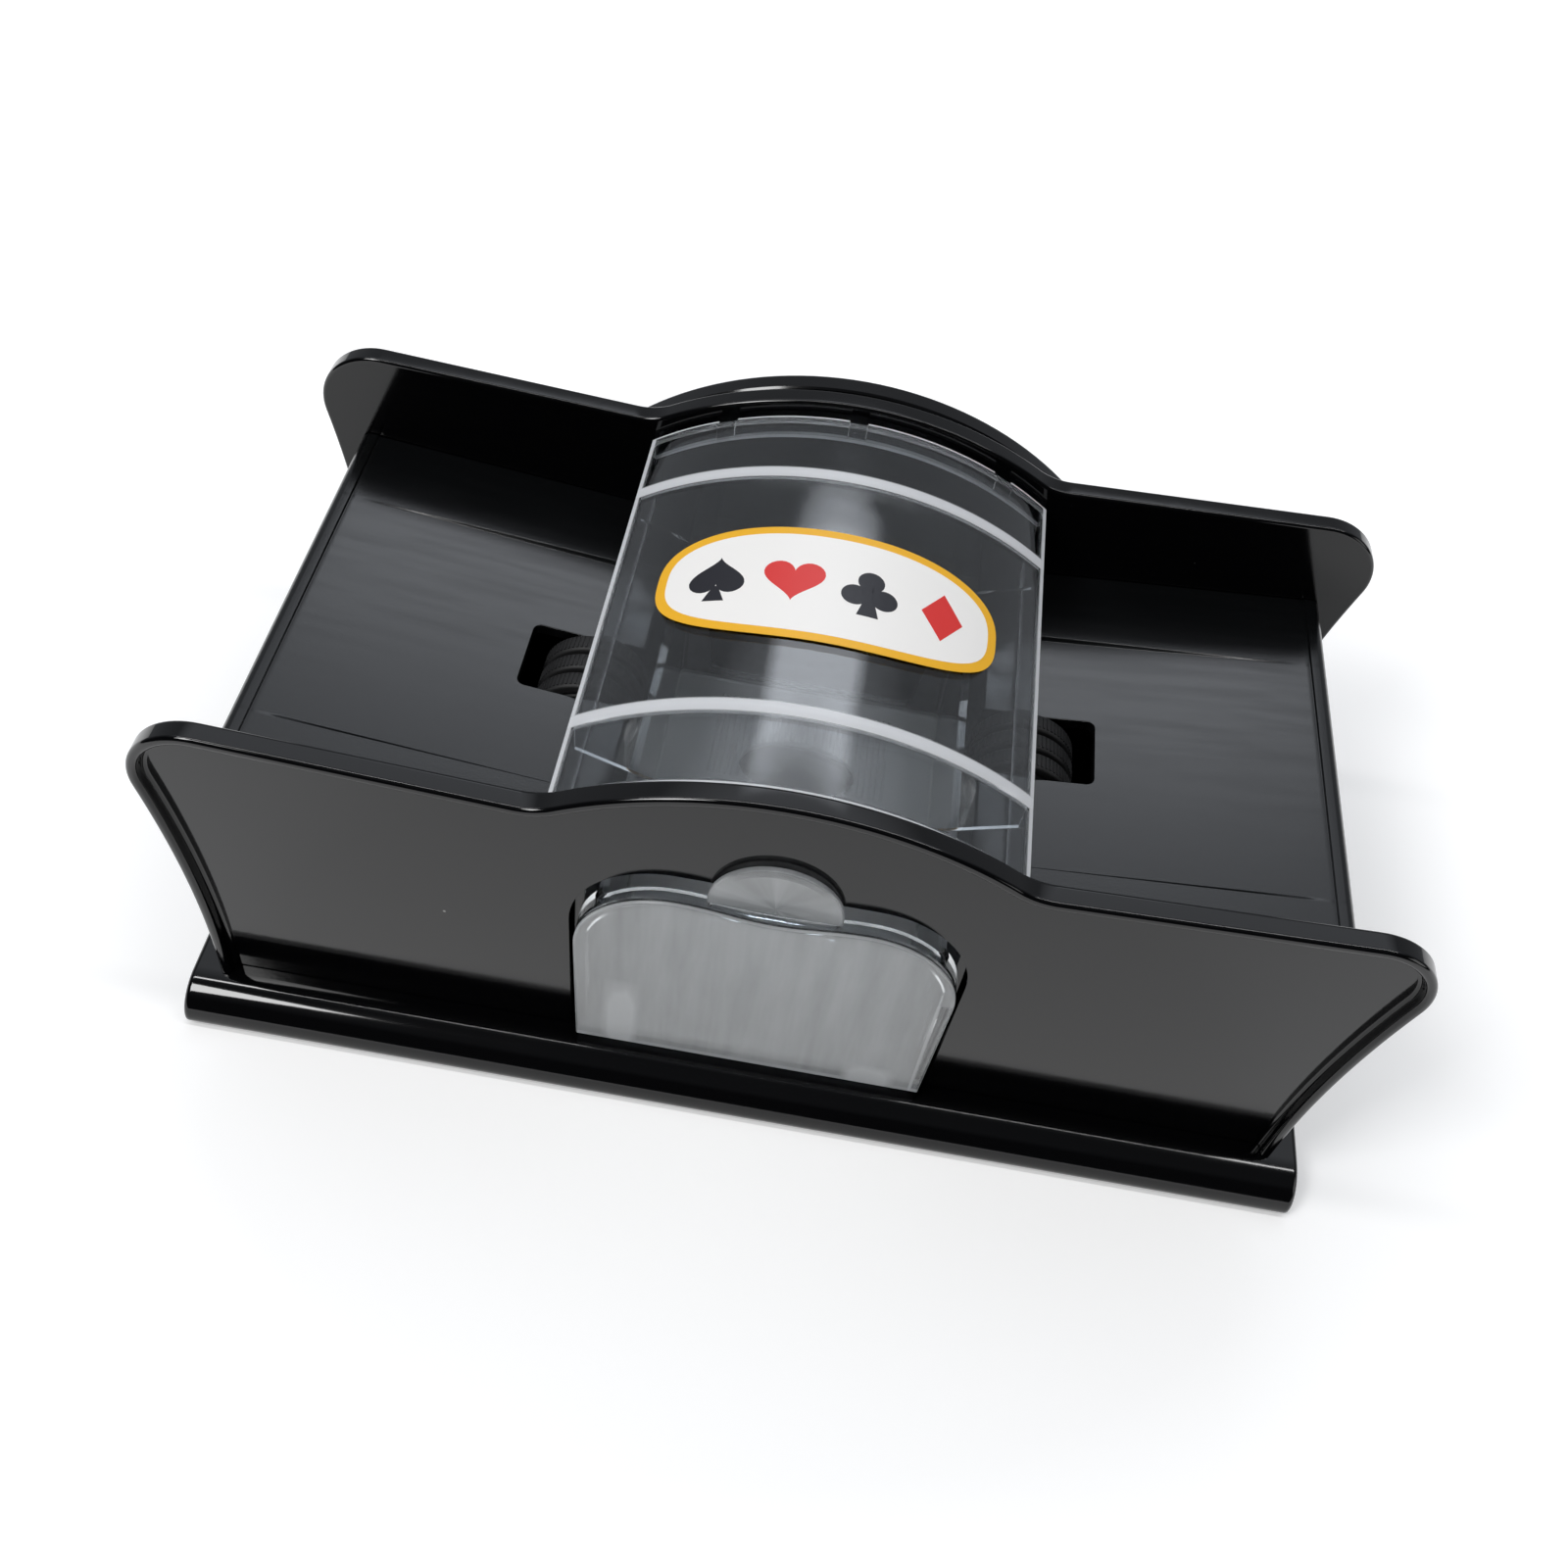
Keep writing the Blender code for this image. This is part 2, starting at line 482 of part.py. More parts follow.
def make_gears():
    tooth = math.pi / GEAR_TEETH
    places = ((-ROLLER_X, "roller_gear_left", 0), (-IDLER_X, "idler_gear_left", tooth),
              (IDLER_X, "idler_gear_right", 0), (ROLLER_X, "roller_gear_right", tooth))
    for x, name, phase in places:
        bore = SHAFT_R + (GAP if "roller" in name else IDLER_PLAY)
        cut(gear_wheel(name, GEAR_TEETH, phase, x, ROLLER_Z), rod("gear_bore", bore, (x, ROLLER_Z), (50, 70)))
    direction = math.atan2(MOTOR_Z - ROLLER_Z, MOTOR_X - ROLLER_X)
    phase = meshed_phase(tooth, GEAR_TEETH, direction, PINION_TEETH)
    apart = GEAR_PITCH_R + PINION_PITCH_R
    x, z = ROLLER_X + apart * math.cos(direction), ROLLER_Z + apart * math.sin(direction)
    pinion = gear_wheel("motor_pinion", PINION_TEETH, phase, x, z)
    join(pinion, rod("motor_shaft", 1.0, (x, z), (50.5, 61.2), "Y", None, 16))
    for side, word in ((-1, "left"), (1, "right")):
        smooth(rod(f"idler_pin_{word}", SHAFT_R, (side * IDLER_X, ROLLER_Z), (53.7, 61.5), "Y", STEEL))
    return x, z


def make_rollers():
    for side, word in ((-1, "left"), (1, "right")):
        spot = (side * ROLLER_X, ROLLER_Z)
        smooth(rod(f"roller_shaft_{word}", SHAFT_R, spot, (-53.0, 61.2), "Y", STEEL))
        ring(f"roller_hub_{word}", HUB_R, SHAFT_R + GAP, spot, (-HUB_HALF, HUB_HALF), "Y", BLACK, 28)
        for i, y in enumerate((-TYRE_Y, 0.0, TYRE_Y), 1):
            ends = (y - TYRE_HALF, y + TYRE_HALF)
            ring(f"roller_tyre_{word}_{i}", ROLLER_R, TYRE_BORE, spot, ends, "Y", RUBBER, 28)
        for place_word, front, back in (("front", -53.2, -49.6), ("rear", 49.6, 56.0)):
            ring(f"bush_{place_word}_{word}", BUSH_R, BUSH_BORE, spot, (front, back), "Y", BRASS)


# ---- motor, switch and batteries --------------------------------------------------------------
def make_motor(x, z):
    motor = rod("motor_can", MOTOR_R, (x, z), MOTOR_Y, "Y", STEEL, 32)
    cut(motor, rod("motor_bearing", 1.4, (x, z), (50.2, 54), "Y", None, 16))
    smooth(motor)
    bracket = rod("motor_bracket", MOTOR_R + 2.3, (x, z), BRACKET_Y, "Y", BLACK, 32)
    low = POCKET_FLOOR + GAP
    join(bracket, box("bracket_post", (x - 8, BRACKET_Y[0], low), (x + 8, BRACKET_Y[1], z - 8)))
    cut(bracket, rod("bracket_bore", MOTOR_R + GAP, (x, z), (30, 44), "Y", None, 32))


def make_switch():
    outer, spot = TRAY_END_X - WALL - GAP, (0, BUTTON_Z)
    body = box("switch_body", (SWITCH_X, -SWITCH_HALF, BUTTON_Z - SWITCH_HALF),
               (outer, SWITCH_HALF, BUTTON_Z + SWITCH_HALF), BLACK)
    cut(body, rod("switch_bore", 8.4, spot, (94.5, outer + 2), "X"))
    button = rod("power_button", FLANGE_R, spot, FLANGE_X, "X", BLACK)
    smooth(join(button, rod("button_stem", BUTTON_R, spot, (FLANGE_X[0] + 1, BUTTON_TIP), "X")))
    turns, points = 4, 10
    coil = [(94.9 + 0.6 + 5.0 * i / (turns * points), 4.5 * math.cos(2 * math.pi * i / points),
             BUTTON_Z + 4.5 * math.sin(2 * math.pi * i / points)) for i in range(turns * points + 1)]
    tube("button_spring", coil, WIRE_R, STEEL, 0)


def make_batteries():
    low, high = TRAY_BOX_LOW, TRAY_BOX_HIGH
    tray = box("battery_tray", low, high, BLACK)
    wall = 1.5
    cut(tray, box("cell_space", (low[0] + wall, low[1] + wall, 0), [v - wall for v in high]))
    for y, word in ((-29.2, "front"), (28.8, "rear")):
        box(f"contact_plate_{word}", (-101.6, y, 4.0), (-42.4, y + 0.4, 17.6), STEEL)
    turns, points = 3, 10
    for i in range(4):
        x = CELL_FIRST_X + i * CELL_PITCH
        side = 1 if i % 2 else -1
        near, far = side * 22.8, side * (22.8 - CELL_LENGTH)
        cell = rod(f"battery_{i + 1}", CELL_R, (x, CELL_Z), sorted((near, far + side * 1.2)), "Y", CELL)
        smooth(join(cell, rod("nub", 2.7, (x, CELL_Z), sorted((near, far)), "Y", None, 16)))
        coil = [(x + (2.4 + 2.2 * t) * math.cos(2 * math.pi * turns * t), side * (23.7 + 4.0 * t),
                 CELL_Z + (2.4 + 2.2 * t) * math.sin(2 * math.pi * turns * t))
                for t in (k / (turns * points) for k in range(turns * points + 1))]
        tube(f"battery_spring_{i + 1}", coil, WIRE_R, STEEL, 0)


def make_leads(x, z):
    wire("motor_lead", [(-50, 32, 12), (-48, 35, 8), (-40, 38, 6), (0, 38, 6), (38, 38, 6), (44, 30, 9),
                        (50, 22, 18), (x - 4, 21, z - 3), (x - 4, 23.4, z - 3)], 0.6, RED_LEAD)
    wire("switch_lead", [(91.4, 3, 36), (86, 4, 34), (82, 6, 22), (80, 14, 14), (74, 17, 16), (66, 18, 28),
                         (x + 4, 20, z), (x + 4, 23.4, z)], 0.6, BLACK_LEAD)


make_base()
make_chassis()
make_plates()
make_gear_cover()
make_hood()
make_drawer()
pinion_x, pinion_z = make_gears()
make_rollers()
make_motor(pinion_x, pinion_z)
make_switch()
make_batteries()
make_leads(pinion_x, pinion_z)
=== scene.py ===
"""Looks of a battery card shuffler: black ABS trays and plates, a clear hood and a clear card drawer.

Sizes are in millimetres and become metres in the meshes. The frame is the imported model's: +Z up, front to -Y.
"""

import math

import bmesh
import bpy
from mathutils import Matrix, Vector


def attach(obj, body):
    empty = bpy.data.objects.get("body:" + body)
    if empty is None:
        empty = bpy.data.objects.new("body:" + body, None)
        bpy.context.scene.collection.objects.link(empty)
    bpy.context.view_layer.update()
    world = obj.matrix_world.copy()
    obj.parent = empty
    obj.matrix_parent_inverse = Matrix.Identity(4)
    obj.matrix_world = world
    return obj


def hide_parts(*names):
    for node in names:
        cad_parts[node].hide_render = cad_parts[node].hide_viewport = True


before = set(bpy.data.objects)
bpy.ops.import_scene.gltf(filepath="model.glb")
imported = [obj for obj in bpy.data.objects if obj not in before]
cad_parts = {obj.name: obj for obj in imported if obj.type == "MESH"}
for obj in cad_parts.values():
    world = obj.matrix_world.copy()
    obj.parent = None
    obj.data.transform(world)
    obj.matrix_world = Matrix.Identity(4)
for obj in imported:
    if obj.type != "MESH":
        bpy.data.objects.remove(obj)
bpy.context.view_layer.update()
MM = 0.001


# ---- table, light and camera ----
# A back-lit white acrylic table top in a dark studio. A soft strip behind, painted in the world, puts the
# long grey sheen on the trays, and a thin one overhead draws the bright lines along the rounded edges.
def linear(hex_colour):
    """An sRGB hex colour as a linear colour."""
    parts = [int(hex_colour[i:i + 2], 16) / 255 for i in (0, 2, 4)]
    return (*[c / 12.92 if c <= 0.04045 else ((c + 0.055) / 1.055) ** 2.4 for c in parts], 1.0)


def node(tree, kind, inputs=(), **settings):
    """Adds a node: settings are its properties, and inputs its sockets' values or links."""
    made = tree.nodes.new(kind)
    for name, value in settings.items():
        setattr(made, name, value)
    for name, value in dict(inputs).items():
        if isinstance(value, bpy.types.NodeSocket):
            tree.links.new(value, made.inputs[name])
        else:
            made.inputs[name].default_value = value
    return made


def finish(name):
    """A new empty material, its node tree and the socket with the object's own coordinates."""
    made = bpy.data.materials.new(name)
    made.use_nodes = True
    tree = made.node_tree
    tree.nodes.clear()
    return made, tree, node(tree, "ShaderNodeTexCoord").outputs["Object"]


def principled(tree, colour, roughness, **sockets):
    """A Principled shader. An underscore in a socket's name stands for a space."""
    named = {name.replace("_", " "): value for name, value in sockets.items()}
    named.update({"Base Color": colour, "Roughness": roughness})
    return node(tree, "ShaderNodeBsdfPrincipled", named).outputs[0]


def coated(made, shader):
    """The material, with its shader on the output."""
    node(made.node_tree, "ShaderNodeOutputMaterial", {"Surface": shader})
    return made


def ranged(tree, value, low, high, start=0.0, end=1.0):
    """Turns low to high into start to end, and stays within them."""
    return node(tree, "ShaderNodeMapRange", {"Value": value, "From Min": low, "From Max": high,
                "To Min": start, "To Max": end}).outputs[0]


def noise(tree, place, scale, detail, stretch=None):
    """A cloudy value from 0 to 1."""
    if stretch:
        place = node(tree, "ShaderNodeMapping", {"Vector": place, "Scale": stretch}).outputs[0]
    sockets = {"Vector": place, "Scale": scale, "Detail": detail}
    return node(tree, "ShaderNodeTexNoise", sockets).outputs["Fac"]


def tinted(tree, amount, colour, other):
    """Blends two hex colours."""
    return node(tree, "ShaderNodeMix", {"Factor": amount, "A": linear(colour), "B": linear(other)},
                data_type="RGBA").outputs["Result"]


def bumped(tree, height, strength, distance):
    """A normal that follows the height."""
    sockets = {"Height": height, "Strength": strength, "Distance": distance}
    return node(tree, "ShaderNodeBump", sockets).outputs[0]


def chained(tree, operation, *values):
    """One maths operation over all the values in turn."""
    total = values[0]
    for value in values[1:]:
        total = node(tree, "ShaderNodeMath", {0: total, 1: value}, operation=operation).outputs[0]
    return total


def product(tree, *values):
    return chained(tree, "MULTIPLY", *values)


def between(tree, value, low, high, soft):
    """1 where the value lies between the limits, falling to 0 over the soft width."""
    return product(tree, ranged(tree, value, low - soft, low),
                   ranged(tree, value, high, high + soft, 1.0, 0.0))


white_top, tree, place = finish("back_lit_white_acrylic")
spread = node(tree, "ShaderNodeVectorMath", {0: place}, operation="LENGTH")
# Painted shade: the table's glow is turned down near the middle, so the floor under and round the machine is a
# little darker.
emission = ranged(tree, spread.outputs["Value"], 0.14, 0.36, 0.30, 0.80)  # dimmer under the machine
coated(white_top, principled(tree, linear("e6e6e6"), 0.6, Emission_Color=linear("ffffff"),
                             Emission_Strength=emission))
bpy.ops.mesh.primitive_plane_add(size=5)
table_top = bpy.context.active_object
table_top.name = "table_top"
table_top.data.materials.append(white_top)

room = bpy.data.worlds.new("studio")
bpy.context.scene.world = room
room.use_nodes = True
tree = room.node_tree
way = node(tree, "ShaderNodeSeparateXYZ", {0: node(tree, "ShaderNodeTexCoord").outputs["Generated"]})
rear = ranged(tree, way.outputs["Y"], -0.1, 0.55, 0.10, 1.0)
height = ranged(tree, way.outputs["Z"], 0.62, 0.76, 0.32, 1.05)
glow = product(tree, rear, height)
STRIP_LOW, STRIP_HIGH, STRIP_HALF, STRIP_RADIANCE = 0.665, 0.735, 0.15, 2.7
strip = product(tree, between(tree, way.outputs["Z"], STRIP_LOW, STRIP_HIGH, 0.035),
                between(tree, way.outputs["X"], -STRIP_HALF, STRIP_HALF, 0.07),
                between(tree, way.outputs["Y"], 0.3, 2.0, 0.1), STRIP_RADIANCE)
tree.links.new(chained(tree, "ADD", glow, strip), tree.nodes["Background"].inputs["Strength"])
tree.nodes["Background"].inputs["Color"].default_value = linear("eef3fb")


def linked(name, data):
    """A new object with its data, in the scene."""
    made = bpy.data.objects.new(name, data)
    bpy.context.scene.collection.objects.link(made)
    return made


def soft_light(name, spot, aim, width, height, radiance):
    """A rectangular soft light of an even radiance."""
    data = bpy.data.lights.new(name, "AREA")
    data.shape = "RECTANGLE"
    data.size, data.size_y = width, height
    data.energy = radiance * math.pi * width * height
    lamp = linked(name, data)
    lamp.location = spot
    lamp.rotation_euler = (Vector(aim) - Vector(spot)).to_track_quat("-Z", "Y").to_euler()


soft_light("front_key", (-0.50, -0.42, 0.85), (0, 0, 0.05), 0.30, 0.30, 16.0)
soft_light("overhead_strip", (0, -0.02, 1.0), (0, 0, 0.05), 1.5, 0.05, 16.0)
soft_light("right_fill", (1.0, -0.35, 0.38), (0, 0, 0.05), 0.5, 0.4, 1.6)

FOCAL, SENSOR = 36.0, 36.0
AZIMUTH, ELEVATION, ROLL = (math.radians(a) for a in (-0.19, 51.03, 10.18))
DISTANCE, AIM = 0.34245, Vector((-0.00237, -0.00732, 0.040))
back = Vector((math.sin(AZIMUTH) * math.cos(ELEVATION), -math.cos(AZIMUTH) * math.cos(ELEVATION),
               math.sin(ELEVATION)))
level = Vector((math.cos(AZIMUTH), math.sin(AZIMUTH), 0))
upward = level.cross(-back)
across = math.cos(ROLL) * level + math.sin(ROLL) * upward
over = math.cos(ROLL) * upward - math.sin(ROLL) * level
camera_data = bpy.data.cameras.new("camera")
camera_data.lens, camera_data.sensor_width = FOCAL, SENSOR
camera_data.shift_x, camera_data.shift_y = 0.0007, 0.0049
camera_data.clip_start, camera_data.clip_end = 0.01, 10
camera = linked("camera", camera_data)
turned_camera = Matrix((across, over, back)).transposed().to_4x4()
camera.matrix_world = Matrix.Translation(AIM + back * DISTANCE) @ turned_camera
bpy.context.scene.camera = camera
bpy.context.scene.view_settings.view_transform = "Standard"


# ---- base cover ----
# The bottom moulding, of black ABS from a polished mould, with a rolled front and rear edge. It is
# screwed up into the chassis, and has pockets for the feet and screws and a hatch for the cells.
def gloss_abs(name="gloss_moulded_abs", colour="040405", rough=0.06, grain=0.0):
    """Polished ABS: near black, sharp reflections that waver with the mould's polish, fine dust specks."""
    made, tree, place = finish(name)
    smear = ranged(tree, noise(tree, place, 28.0, 4.0), 0.35, 0.7, rough, rough + 0.05)
    dust = node(tree, "ShaderNodeTexVoronoi", {"Vector": place, "Scale": 110.0, "Randomness": 1.0})
    speck = ranged(tree, dust.outputs["Distance"], 0.02, 0.045, 1.0, 0.0)
    mote = product(tree, speck, chained(tree, "GREATER_THAN", dust.outputs["Color"], 0.9))
    flow = bumped(tree, noise(tree, place, 330.0, 2.0), 0.02 + grain, 0.0002)
    return coated(made, principled(tree, tinted(tree, mote, colour, "8a8a88"), smear, IOR=1.49, Normal=flow))


def built(name, build, surface):
    """An object from what has been built, with its material if there is one."""
    mesh = bpy.data.meshes.new(name)
    build.to_mesh(mesh)
    build.free()
    if surface:
        mesh.materials.append(surface)
    return linked(name, mesh)


def shell_between(name, rings, surface):
    """Joins closed rings of points, in order, and closes both ends unless they are the same ring."""
    build = bmesh.new()
    rows = [[build.verts.new(Vector(p) * MM) for p in ring] for ring in rings]
    count = len(rings[0])
    for row, following in zip(rows, rows[1:]):
        for i in range(count):
            j = (i + 1) % count
            build.faces.new((row[i], row[j], following[j], following[i]))
    if rings[0] != rings[-1]:
        build.faces.new(rows[0])
        build.faces.new(rows[-1])
    bmesh.ops.remove_doubles(build, verts=build.verts, dist=1e-7)
    bmesh.ops.recalc_face_normals(build, faces=build.faces)
    return built(name, build, surface)


def slab(name, outline, steps, surface=None, axis="Y"):
    """A solid from an outline that takes an inset: steps are (inset, place along the axis)."""
    def spot(u, v, along):
        return (u, along, v) if axis == "Y" else (along, u, v) if axis == "X" else (u, v, along)
    return shell_between(name, [[spot(u, v, y) for u, v in outline(inset)] for inset, y in steps], surface)


def circle(cu, cv, radius, sides=40):
    """An outline function for a round piece."""
    def points(inset):
        return [(cu + (radius - inset) * math.cos(2 * math.pi * i / sides),
                 cv + (radius - inset) * math.sin(2 * math.pi * i / sides)) for i in range(sides)]
    return points


def arc(cu, cv, radius, start, end, steps):
    """Points on a circle, angles in degrees."""
    return [(cu + radius * math.cos(math.radians(start + (end - start) * i / steps)),
             cv + radius * math.sin(math.radians(start + (end - start) * i / steps)))
            for i in range(steps + 1)]


def rounded_box(low, high, corner, steps=5):
    """An outline function for a rectangle with round corners."""
    def points(inset):
        (u0, v0), (u1, v1), r = low, high, corner
        spots = ((u1 - r, v1 - r, 0), (u0 + r, v1 - r, 90), (u0 + r, v0 + r, 180), (u1 - r, v0 + r, 270))
        return [p for u, v, turn in spots for p in arc(u, v, max(r - inset, 0.01), turn, turn + 90, steps)]
    return points


def quarter(steps):
    """Angles from 0 to a right angle."""
    return [math.pi / 2 * i / steps for i in range(steps + 1)]


def mirrored(right):
    """A right half, in (x, z), with its left half."""
    return right + [(-x, z) for x, z in reversed(right) if x > 1e-6]


def edged(low, high, radius, steps=4):
    """Steps for slab() with both edges rounded."""
    turn = quarter(steps)
    start = [(radius * (1 - math.sin(t)), low + radius * (1 - math.cos(t))) for t in turn]
    return start + [(inset, high - (along - low)) for inset, along in reversed(start)]


def combine(obj, other, operation="DIFFERENCE"):
    """One exact Boolean step that uses the other object up."""
    step = obj.modifiers.new("step", "BOOLEAN")
    step.operation, step.solver, step.object = operation, "EXACT", other
    mesh = settled(obj)
    bpy.data.meshes.remove(other.data)
    return mesh


def cut(obj, outline, steps, axis="Y"):
    return combine(obj, slab("cutter", outline, steps, None, axis))


def add(obj, outline, steps, axis="Y"):
    return combine(obj, slab("addition", outline, steps, None, axis), "UNION")


def settled(obj):
    """Replaces the object's mesh by what its modifiers make of it."""
    bpy.context.view_layer.update()
    mesh = bpy.data.meshes.new_from_object(obj.evaluated_get(bpy.context.evaluated_depsgraph_get()))
    obj.modifiers.clear()
    obj.data = mesh
    return obj


def eased(obj, width=0.35, segments=3, angle=40):
    """Breaks the sharp edges and evens out the shading of the flats."""
    bevel = obj.modifiers.new("ease", "BEVEL")
    bevel.width, bevel.segments = width * MM, segments
    bevel.limit_method, bevel.angle_limit = "ANGLE", math.radians(angle)
    bevel.use_clamp_overlap = True
    return smoothed(settled(obj))


def smoothed(obj, angle=40):
    obj.data.shade_smooth()
    obj.data.set_sharp_from_angle(angle=math.radians(angle))
    weight = obj.modifiers.new("even", "WEIGHTED_NORMAL")
    weight.keep_sharp = True
    return settled(obj)


def hand_over(obj, body, slot, *cad_nodes):
    """The piece rides on its body and stands for its CAD nodes, which it hides. The slot is not used."""
    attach(obj, body)
    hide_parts(*cad_nodes)
    return obj


GLOSS_ABS = gloss_abs()
BASE_X, BASE_Y, BASE_BOTTOM, BASE_TOP = 119.9, 66.6, 0.8, 9.3
ROLL_FROM, ROLL_LOW = 57.5, 2.0


def base_section(inset):
    """Half-round rolled edges front and rear, in (y, z)."""
    width, height = BASE_Y - ROLL_FROM, BASE_TOP - ROLL_LOW
    roll = [(ROLL_FROM + (width - inset) * math.cos(t), ROLL_LOW + (height - inset) * math.sin(t))
            for t in quarter(12)]
    right = [(BASE_Y - 0.9 - inset, BASE_BOTTOM + inset),
             (BASE_Y - 0.4 - inset, BASE_BOTTOM + 0.5 + inset), *roll]
    return right + [(-y, z) for y, z in reversed(right)]


base = slab("base_moulding", base_section, edged(-BASE_X, BASE_X, 1.3), GLOSS_ABS, "X")
cut(base, rounded_box((-106, -50), (106, 50), 3), [(0, 3), (0, 20)], "Z")
cut(base, rounded_box((-101, -27), (-44, 27), 1), [(0, -1), (0, 5)], "Z")
FOOT_SPOTS = [(104 * sx, 56 * sy) for sx, sy in ((-1, -1), (1, -1), (-1, 1), (1, 1))]
SCREW_SPOTS = [(72 * sx, 57 * sy) for sx, sy in ((-1, -1), (1, -1), (-1, 1), (1, 1))]
for spots, radius, deep in ((FOOT_SPOTS, 6.3, 2.0), (SCREW_SPOTS, 3.6, 3.0)):
    for u, v in spots:
        cut(base, circle(u, v, radius, 32), [(0, -1), (0, deep)], "Z")
hand_over(eased(base), "housing", "black_plastic", "base_cover")


# ---- feet ----
# Four dark rubber discs, punched from a ribbed sheet and stuck in their pockets. They are dull,
# with a fine rubber grain.
def dull_rubber(name, colour, grip):
    """Moulded rubber: dull, with a fine grain and paler where it is rubbed."""
    made, tree, place = finish(name)
    tone = tinted(tree, noise(tree, place, 90.0, 5.0), colour, grip)
    bump = bumped(tree, noise(tree, place, 1800.0, 3.0), 0.25, 0.0001)
    return coated(made, principled(tree, tone, 0.62, IOR=1.52, Normal=bump))


FOOT_RUBBER = dull_rubber("punched_foot_rubber", "19191a", "2c2c2c")
for number, (u, v) in enumerate(FOOT_SPOTS, 1):
    foot = slab(f"rubber_foot_{number}", circle(u, v, 6.0, 36), edged(0.0, 1.7, 0.4), FOOT_RUBBER, "Z")
    for groove in (-3, -1, 1, 3):
        groove_box = rounded_box((u - 8, v + groove - 0.3), (u + 8, v + groove + 0.3), 0.1, 1)
        cut(foot, groove_box, [(0, -1), (0, 0.35)], "Z")
    hand_over(smoothed(foot), "housing", "black_rubber", f"foot_{number}")


# ---- screws ----
# Cross-recessed pan-head screws, cold-headed from steel and bright zinc plated. Four hold the base
# and four the gear cover. The plating gives them a bright, slightly cloudy face.
def plated_steel(name, colour="b4b6b9", rough=0.24):
    """Zinc-plated steel: bright metal, clouded by the plating."""
    made, tree, place = finish(name)
    cloud = noise(tree, place, 420.0, 4.0)
    spread = ranged(tree, cloud, 0.0, 1.0, rough, rough + 0.16)
    return coated(made, principled(tree, tinted(tree, cloud, colour, "8e9094"), spread, Metallic=1.0))


def geometry_tree(name, sizes):
    """A geometry node tree with named size inputs, returned with its group input and output."""
    tree = bpy.data.node_groups.new(name, "GeometryNodeTree")
    tree.interface.new_socket("Geometry", in_out="INPUT", socket_type="NodeSocketGeometry")
    tree.interface.new_socket("Geometry", in_out="OUTPUT", socket_type="NodeSocketGeometry")
    for label, value in sizes.items():
        kind = "NodeSocketInt" if isinstance(value, int) else "NodeSocketFloat"
        tree.interface.new_socket(label, in_out="INPUT", socket_type=kind).default_value = value
    return tree, tree.nodes.new("NodeGroupInput"), tree.nodes.new("NodeGroupOutput")


def realised(tree, instances, surface, out):
    """Ends a geometry tree: the instances become real and take their material."""
    real = node(tree, "GeometryNodeRealizeInstances", {"Geometry": instances.outputs[0]})
    made = node(tree, "GeometryNodeSetMaterial", {"Geometry": real.outputs[0], "Material": surface})
    tree.links.new(made.outputs[0], out.inputs["Geometry"])
    return tree


def grown(name, tree, **sizes):
    """Runs a geometry tree and keeps what it makes as a plain mesh."""
    made = built(name, bmesh.new(), None)
    step = made.modifiers.new("grow", "NODES")
    step.node_group = tree
    for item in tree.interface.items_tree:
        if item.in_out == "INPUT" and item.name in sizes:
            step[item.identifier] = sizes[item.name]
    return settled(made)


ZINC = plated_steel("zinc_plated_screw_steel")
HEAD_RISE = 1.5


def screw_head_outline(radius):
    """Half profile of a pan head, from its middle out and down, in (r, z)."""
    dome = [(radius * math.sin(t), 0.55 * HEAD_RISE + 0.45 * HEAD_RISE * math.cos(t)) for t in quarter(8)]
    return [*dome, (radius, 0.15), (radius - 0.15, 0.0)]


def turned(name, profile, surface, sides=36):
    """Spins a half profile, in (r, z), round Z and closes it."""
    rings = [[(u, v, z) for u, v in circle(0, 0, max(r, 1e-4), sides)(0)] for r, z in profile]
    return shell_between(name, rings, surface)


def moved(obj, matrix):
    """Puts the place into the mesh, so that the object stays at the origin."""
    obj.data.transform(matrix)
    if matrix.determinant() < 0:
        obj.data.flip_normals()
    return obj


def pan_screw(name, radius, spot, turn, twist):
    """A pan head with a cross recess, its head along the turned Z axis."""
    screw = turned(name, screw_head_outline(radius), ZINC)
    for turned_by in (0, 90):
        wide, long = 0.28 * radius, 1.15 * radius
        wing = slab("wing", rounded_box((-long / 2, -wide / 2), (long / 2, wide / 2), 0.1, 1),
                    [(0.3, HEAD_RISE - 0.95), (0, HEAD_RISE + 0.5)], None, "Z")
        combine(screw, moved(wing, Matrix.Rotation(math.radians(turned_by + twist), 4, "Z")))
    smoothed(screw, 35)
    return moved(screw, Matrix.Translation(Vector(spot) * MM) @ turn)


FACE_DOWN = Matrix.Rotation(math.pi, 4, "X")
for number, (u, v) in enumerate(SCREW_SPOTS, 1):
    screw = pan_screw(f"base_fixing_{number}", 3.2, (u, v, 2.7), FACE_DOWN, 23 * number)
    hand_over(screw, "housing", "bright_steel", f"base_screw_{number}")


# ---- battery tray, cells and contacts ----
# A black ABS box holds four AA cells in zinc-plated spring contacts. The cells are steel cans in a
# printed shrink wrap, dark with a gold band round the positive end.
def recoloured(node_name, surface):
    """A CAD node that keeps its shape and takes a better material."""
    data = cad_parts[node_name].data
    data.materials.clear()
    data.materials.append(surface)


SATIN_ABS = gloss_abs("satin_moulded_abs", "0c0c0d", 0.34, 0.25)
CONTACT_STEEL = plated_steel("tinned_contact_strip", "c2c2bd", 0.2)
SPRING_STEEL = plated_steel("drawn_spring_wire", "a9acb0", 0.3)
recoloured("battery_tray", SATIN_ABS)
for word in ("front", "rear"):
    recoloured(f"contact_plate_{word}", CONTACT_STEEL)
for number in range(1, 5):
    recoloured(f"battery_spring_{number}", SPRING_STEEL)


